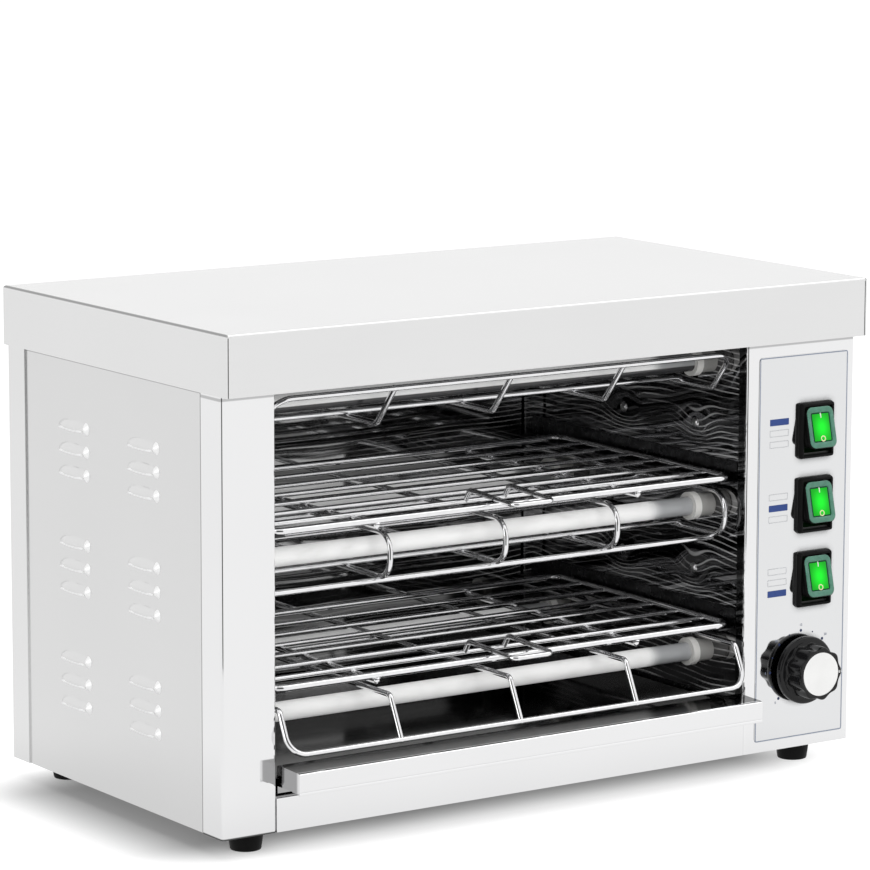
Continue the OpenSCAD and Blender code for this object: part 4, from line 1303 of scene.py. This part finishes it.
@dataclass
class LabelPrint:
    """What is printed on the control label: a border, bars beside the switches and the dial."""

    ink_t: float = 0.07
    border_w: float = 0.6
    border_in: float = 0.5
    corner: float = 1.6
    bar: Pair = (15.2, 4.2)
    bar_x: float = 177.7
    bar_pitch: float = 7.2
    bar_corner: float = 0.4
    bar_line: float = 0.3
    dial_r: float = 25.0
    first: float = 225.0
    step: float = -22.5
    dots: int = 13
    dot_r: Pair = (0.95, 0.5)
    dot_steps: int = 16
    number_r: float = 28.6
    number_h: float = 2.3
    number_step: float = 2.5

    def outline(self, size: Pair, corner: float, inset: float, width: float) -> Skin:
        """A thin printed line carried round a rectangle, from an inset inwards by its width."""
        a, b, t = inset, inset + width, self.ink_t
        return lofted(framed([(a, a, -t), (a, a, t), (b, b, t), (b, b, -t)], size, corner), ring=True)

    def around(self, radius: float) -> np.ndarray:
        """Places about the dial's middle, in metres: the radius times cosine and sine of each step."""
        angles = np.radians(self.first + self.step * np.arange(self.dots))
        return np.stack([np.cos(angles), np.zeros(self.dots), np.sin(angles)], axis=-1) * radius * MM

    def figure(self, text: str) -> Skin:
        """A small figure as a thin raised shape that faces -Y.

        Args:
            text: the figure.

        Returns:
            The figure about the origin.
        """
        curve = bpy.data.curves.new("figure", "FONT")
        curve.body = text
        curve.size, curve.extrude, curve.resolution_u = self.number_h * MM, self.ink_t * MM, 3
        curve.align_x, curve.align_y = "CENTER", "CENTER"
        shape = bpy.data.objects.new("figure", curve)
        mesh = shape.to_mesh()
        flat = np.empty(len(mesh.vertices) * 3, np.float32)
        mesh.vertices.foreach_get("co", flat)
        x, y, z = flat.reshape(-1, 3).astype(float).T
        faces = [tuple(p.vertices) for p in mesh.polygons]
        quads, tris = (np.array([f for f in faces if len(f) == k], int).reshape(-1, k) for k in (4, 3))
        shape.to_mesh_clear()
        bpy.data.objects.remove(shape)
        bpy.data.curves.remove(curve)
        return Skin(np.stack([x, -z, y], axis=-1), quads, tris)

    def build(self) -> None:
        """Makes the printed pieces on the label's face.

        At each switch the bar of its own level is filled and the two others are outlines. The dial has a
        dot at each step, large and with a figure at every second one.
        """
        low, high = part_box("control_label")
        middle, knob, face, t = middle_of("control_label"), middle_of("control_knob"), low.y, self.ink_t
        size = ((high.x - low.x) / MM, (high.z - low.z) / MM)
        border = self.outline(size, self.corner, self.border_in, self.border_w)
        heights = np.array([middle_of(f"{level.word}_switch_boot").z for level in Level])
        rows = (np.arange(3) - 1) * self.bar_pitch * MM
        spots = grid(self.bar_x * MM, face, (heights[:, None] + rows).ravel())
        own = np.eye(3, dtype=bool).ravel()
        bar = lofted(framed([(0, 0, -t), (0, 0, t)], self.bar, self.bar_corner), caps=True)
        frame_line = self.outline(self.bar, self.bar_corner, 0.0, self.bar_line)
        centre = np.array([knob.x, face, knob.z])
        dots = [
            lofted(turned([(r, -t, 0), (r, t, 0)], self.dot_steps), caps=True).repeated(
                centre + self.around(self.dial_r)[k::2]
            )
            for k, r in enumerate(self.dot_r)
        ]
        figures = [
            self.figure(str(int(k * self.number_step))).shifted(centre + self.around(self.number_r)[k])
            for k in range(0, self.dots, 2)
        ]
        printed = (
            ("label_border", border.shifted((middle.x, face, middle.z)), "border_ink", (0.3, 0.35, 0.46), 0.4),
            ("label_bars", bar.repeated(spots[own]), "blue_ink", (0.03, 0.07, 0.27), 0.5),
            ("label_outlines", frame_line.repeated(spots[~own]), "pale_ink", (0.68, 0.7, 0.72), 0.4),
            ("dial_dots", Skin.joined(dots), "dial_ink", (0.03, 0.045, 0.12), 0.4),
            ("dial_figures", Skin.joined(figures), "figure_ink", (0.3, 0.34, 0.45), 0.4),
        )
        for name, skin, ink, colour, roughness in printed:
            make_piece(name, skin, Ink(ink, colour, roughness), "casing")


@dataclass
class Heaters:
    """The coils in the six quartz tubes."""

    coil_r: float = 3.5
    wire_r: float = 0.4
    pitch: float = 3.0
    turn_steps: int = 14
    sides: int = 5

    def coil(self, length: float) -> Skin:
        """A helix along X: the wire's circle is carried along x = pitch t, with t turns about the axis.

        Args:
            length: the coil's length in millimetres.

        Returns:
            The coil about the origin.
        """
        turns = length / self.pitch
        t = np.linspace(-turns / 2, turns / 2, int(turns * self.turn_steps))[:, None]
        angle, around = 2 * np.pi * t, round_angles(self.sides)
        r = self.coil_r + self.wire_r * np.cos(around)
        x = self.pitch * t + self.wire_r * np.sin(around)
        return lofted(np.stack([x, r * np.cos(angle), r * np.sin(angle)], axis=-1) * MM, caps=True)

    def build(self, finishes: dict[str, Finish]) -> None:
        """Winds a coil for each tube in place of the plain cores.

        Args:
            finishes: finishes by slot.
        """
        tubes = [f"{level}_{row}_tube" for level in ("lower", "middle", "top") for row in ("front", "rear")]
        low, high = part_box("heating_coils")
        skin = self.coil((high.x - low.x) / MM).repeated(np.array([middle_of(tube) for tube in tubes]))
        make_piece("wound_coils", skin, finishes["coil_wire"], "casing", ["heating_coils"])


@dataclass
class Feet:
    """The four moulded feet, with a round lower edge and a hole for the screw."""

    rim: tuple[Pair, ...] = (
        (4.2, 6.5), (4.2, 0.5), (4.7, 0.0), (8.7, 0.0), (9.25, 0.2), (9.55, 0.8), (10.3, 6.0),
        (10.9, 11.8), (11.0, 12.6), (10.8, 13.0), (2.05, 13.0), (2.05, 6.5),
    )
    steps: int = 64

    def build(self, finishes: dict[str, Finish]) -> None:
        """Turns one foot about its upright axis and sets it at the four corners.

        Args:
            finishes: finishes by slot.
        """
        loops = turned([(r, -z, 0) for r, z in self.rim], self.steps)
        foot = lofted(loops[..., [0, 2, 1]], ring=True)
        low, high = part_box("feet")
        r = max(r for r, _ in self.rim) * MM
        skin = foot.repeated(grid((low.x + r, high.x - r), (low.y + r, high.y - r), 0.0))
        make_piece("rubber_feet", skin, finishes["boot_rubber"], "casing", ["feet"])


@dataclass
class TrayHem:
    """The rolled lower edge of the crumb tray's lip."""

    base: float = 4.0
    size: Pair = (0.8, 1.9)
    below: float = 1.1
    corner: float = 0.38
    corner_steps: int = 5

    def build(self, finish: Finish) -> None:
        """Carries a round-ended outline along the lip's lower edge.

        Args:
            finish: the tray's finish.
        """
        low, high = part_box("crumb_tray")
        outline = round_box(np.array([self.size]), np.array([self.corner]), self.corner_steps)[0] * MM
        y = low.y + self.size[0] / 2 * MM + outline[:, 0]
        z = low.z + (self.base - self.below + self.size[1] / 2) * MM + outline[:, 1]
        ends = [np.stack([np.full(len(y), x), y, z], axis=-1) for x in (low.x, high.x)]
        make_piece("tray_hem", lofted(np.array(ends), caps=True), finish, "crumb_tray")


@dataclass
class LouvreEnds:
    """The pressed front end of each louvre, a small cone with a round tip, and its lower rim, both paler than the
    panel as a painted highlight.
    """

    length: float = 39.0
    first_d: float = 91.0
    columns: float = 84.0
    first_z: float = 48.2
    groups: float = 73.0
    pitch: float = 14.5
    inset: float = 3.6
    rise: float = 1.7
    half: Pair = (3.3, 3.9)
    out: float = 2.4
    tip: float = 0.5
    sunk: float = 0.5
    lap: float = 1.0
    rim: Triple = (0.9, 15.5, 1.1)
    rim_at: Pair = (2.0, -0.1)
    rim_rings: int = 9
    rim_steps: int = 10
    rings: int = 7
    steps: int = 24
    hub: float = 0.04

    def cone(self, side: int) -> Skin:
        """Height over an ellipse: it falls along a hyperbola from the tip, at r = 0, to the rim, at r = 1.

        Args:
            side: -1 for the left panel, 1 for the right one.

        Returns:
            The cone about the origin, closed behind the panel's face.
        """
        r, t = np.linspace(1, self.hub, self.rings)[:, None], round_angles(self.steps)
        crest = np.hypot(1, self.tip)
        fall = (crest - np.hypot(r, self.tip)) / (crest - self.tip)
        height = np.broadcast_to(side * self.out * fall, (self.rings, self.steps))
        rows = np.stack([height, r * self.half[0] * np.cos(t), r * self.half[1] * np.sin(t)], axis=-1)
        foot = rows[:1] - (side * self.sunk, 0, 0)
        return lofted(np.concatenate([foot, rows]) * MM, caps=True)

    def build(self) -> None:
        """Sets a cone and a rim at every louvre on both panels: two columns of three groups of three."""
        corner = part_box("left_column")[0]
        heights = (np.arange(3)[:, None] * self.groups + np.arange(3) * self.pitch).ravel()
        y = corner.y + (self.first_d - self.length / 2 + self.inset + np.arange(2) * self.columns) * MM
        z = corner.z + (self.first_z + self.rise + heights) * MM
        skins = []
        for side, x in ((-1, corner.x), (1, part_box("control_panel")[1].x)):
            places = grid(x - side * self.lap * MM, y, z)
            middle = (side * self.rim_at[0], self.length / 2 - self.inset, self.rim_at[1] - self.rise)
            rim = ellipsoid(self.rim, self.rim_rings, self.rim_steps).shifted(np.array(middle) * MM)
            skins += [self.cone(side).repeated(places), rim.repeated(places)]
        # Painted highlight: the cones and rims are paler steel than the side panel.
        finish = RolledSteel("louvre_ends", (0.93, 0.93, 0.93), 0.34, Axis.Y, seam=0.0, slot="casing_steel")
        make_piece("louvre_ends", Skin.joined(skins), finish, "casing")


@dataclass
class Welds:
    """Beads of metal where the wires of the racks and the guards cross."""

    frame_wire: float = 4.5
    rib_wire: float = 4.0
    grid_wire: float = 3.2
    guard_wire: float = 3.5
    overlap: float = 0.7
    rack_d: float = 187.0
    grid_count: int = 6
    rib_pitch: float = 196.0
    guard_wires: int = 3
    bead: Triple = (2.5, 2.3, 1.2)
    rib_end: Triple = (2.02, 1.1, 2.02)
    guard_bead: Triple = (2.6, 2.0, 2.0)

    def rack(self, name: str) -> Skin:
        """Beads where ribs, grid wires and frame cross, and round ends on the ribs.

        Args:
            name: the rack's node.

        Returns:
            All the rack's beads.
        """
        low, high = (np.array(c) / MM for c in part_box(name))
        back = high[1] - self.frame_wire / 2
        rows = np.linspace(back - self.rack_d, back, self.grid_count + 2)
        ribs = (low[0] + high[0]) / 2 + np.array([-0.5, 0.5]) * self.rib_pitch
        sides = (low[0] + self.frame_wire, high[0] - self.frame_wire)
        cross_z = low[2] + self.rib_wire - self.overlap / 2
        grid_z = cross_z + (self.grid_wire - self.overlap) / 2
        crossings = np.concatenate([grid(ribs, rows, cross_z), grid(sides, rows[1:-1], grid_z)])
        ends = grid(ribs, rows[[0, -1]], low[2] + self.rib_wire / 2)
        beads = ellipsoid(self.bead).repeated(crossings * MM)
        return Skin.joined([beads, ellipsoid(self.rib_end).repeated(ends * MM)])

    def guard(self, name: str, pitch: float, aside: float, at_top: bool) -> Skin:
        """Beads where a guard's wires meet its front bar.

        Args:
            name: the guard's node.
            pitch: spacing of the wires.
            aside: how far their middle lies right of the guard's middle.
            at_top: the front bar is the guard's highest wire, not its lowest.

        Returns:
            The guard's beads.
        """
        low, high = (np.array(c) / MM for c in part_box(name))
        r, n = self.guard_wire / 2, self.guard_wires
        xs = (low[0] + high[0]) / 2 + aside + (np.arange(n) - (n - 1) / 2) * pitch
        spots = grid(xs, low[1] + r, high[2] - r if at_top else low[2] + r)
        return ellipsoid(self.guard_bead).repeated(spots * MM)

    def build(self, finishes: dict[str, Finish]) -> None:
        """Sets the beads on the racks and the guards.

        Args:
            finishes: finishes by slot.
        """
        for name in ("lower_rack", "upper_rack"):
            make_piece(f"{name}_welds", self.rack(name), finishes["bright_wire"], name)
        guards = [
            self.guard("top_guard", pitch=85.5, aside=0.0, at_top=True),
            self.guard("lower_guard", pitch=88.5, aside=-3.9, at_top=False),
        ]
        make_piece("guard_welds", Skin.joined(guards), finishes["bright_wire"], "casing")


@dataclass
class RearScrews:
    """Pan heads with a cross recess, on the rear panel."""

    head_r: float = 4.0
    head_h: float = 2.0
    foot_h: float = 0.7
    slot_w: float = 0.55
    slot_r: float = 2.3
    slot_d: float = 1.3
    slope_w: float = 0.15
    slope_r: float = 0.3
    hub: float = 0.02
    rings: int = 22
    steps: int = 96

    def head(self) -> Skin:
        """A head over polar rings: its height falls as a quarter ellipse, less the depth of a cross.

        Returns:
            The head about the origin, with its foot on y = 0 and its top towards +Y.
        """
        r, t = np.linspace(1, self.hub, self.rings)[:, None], round_angles(self.steps)
        x, z = self.head_r * r * np.cos(t), self.head_r * r * np.sin(t)
        dome = self.foot_h + (self.head_h - self.foot_h) * np.sqrt(np.maximum(1 - r ** 4, 0))
        near, far = np.minimum(abs(x), abs(z)), np.maximum(abs(x), abs(z))
        arm = np.clip((self.slot_w - near) / self.slope_w, 0, 1)
        arm = arm * np.clip((self.slot_r - far) / self.slope_r, 0, 1)
        top = np.stack([x, dome - arm * self.slot_d, z], axis=-1)
        return lofted(np.concatenate([top[:1] * (1, 0, 1), top]) * MM, caps=True)

    def build(self, finishes: dict[str, Finish]) -> None:
        """Sets a head on each rear screw.

        Args:
            finishes: finishes by slot.
        """
        low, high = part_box("rear_screws")
        r, face = self.head_r * MM, high.y - self.head_h * MM
        skin = self.head().repeated(grid((low.x + r, high.x - r), face, (low.z + r, high.z - r)))
        make_piece("rear_screw_heads", skin, finishes["small_steel"], "casing", ["rear_screws"])


def main() -> None:
    """Builds the studio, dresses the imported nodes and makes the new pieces."""
    logging.basicConfig(level=logging.INFO, format="%(name)s %(message)s")
    Studio().build()
    dressing = Dressing()
    finishes, own = dressing.finishes(), dressing.own()
    dressing.dress(finishes, own)
    LouvreEnds().build()
    TrayHem().build(own["crumb_tray"])
    for part in (Heaters(), Feet(), Welds(), RearScrews()):
        part.build(finishes)
    LabelPrint().build()
    TimerKnob().build(finishes)
    for level in Level:
        RockerSwitch(level).build(finishes)


if __name__ == "__main__":
    main()
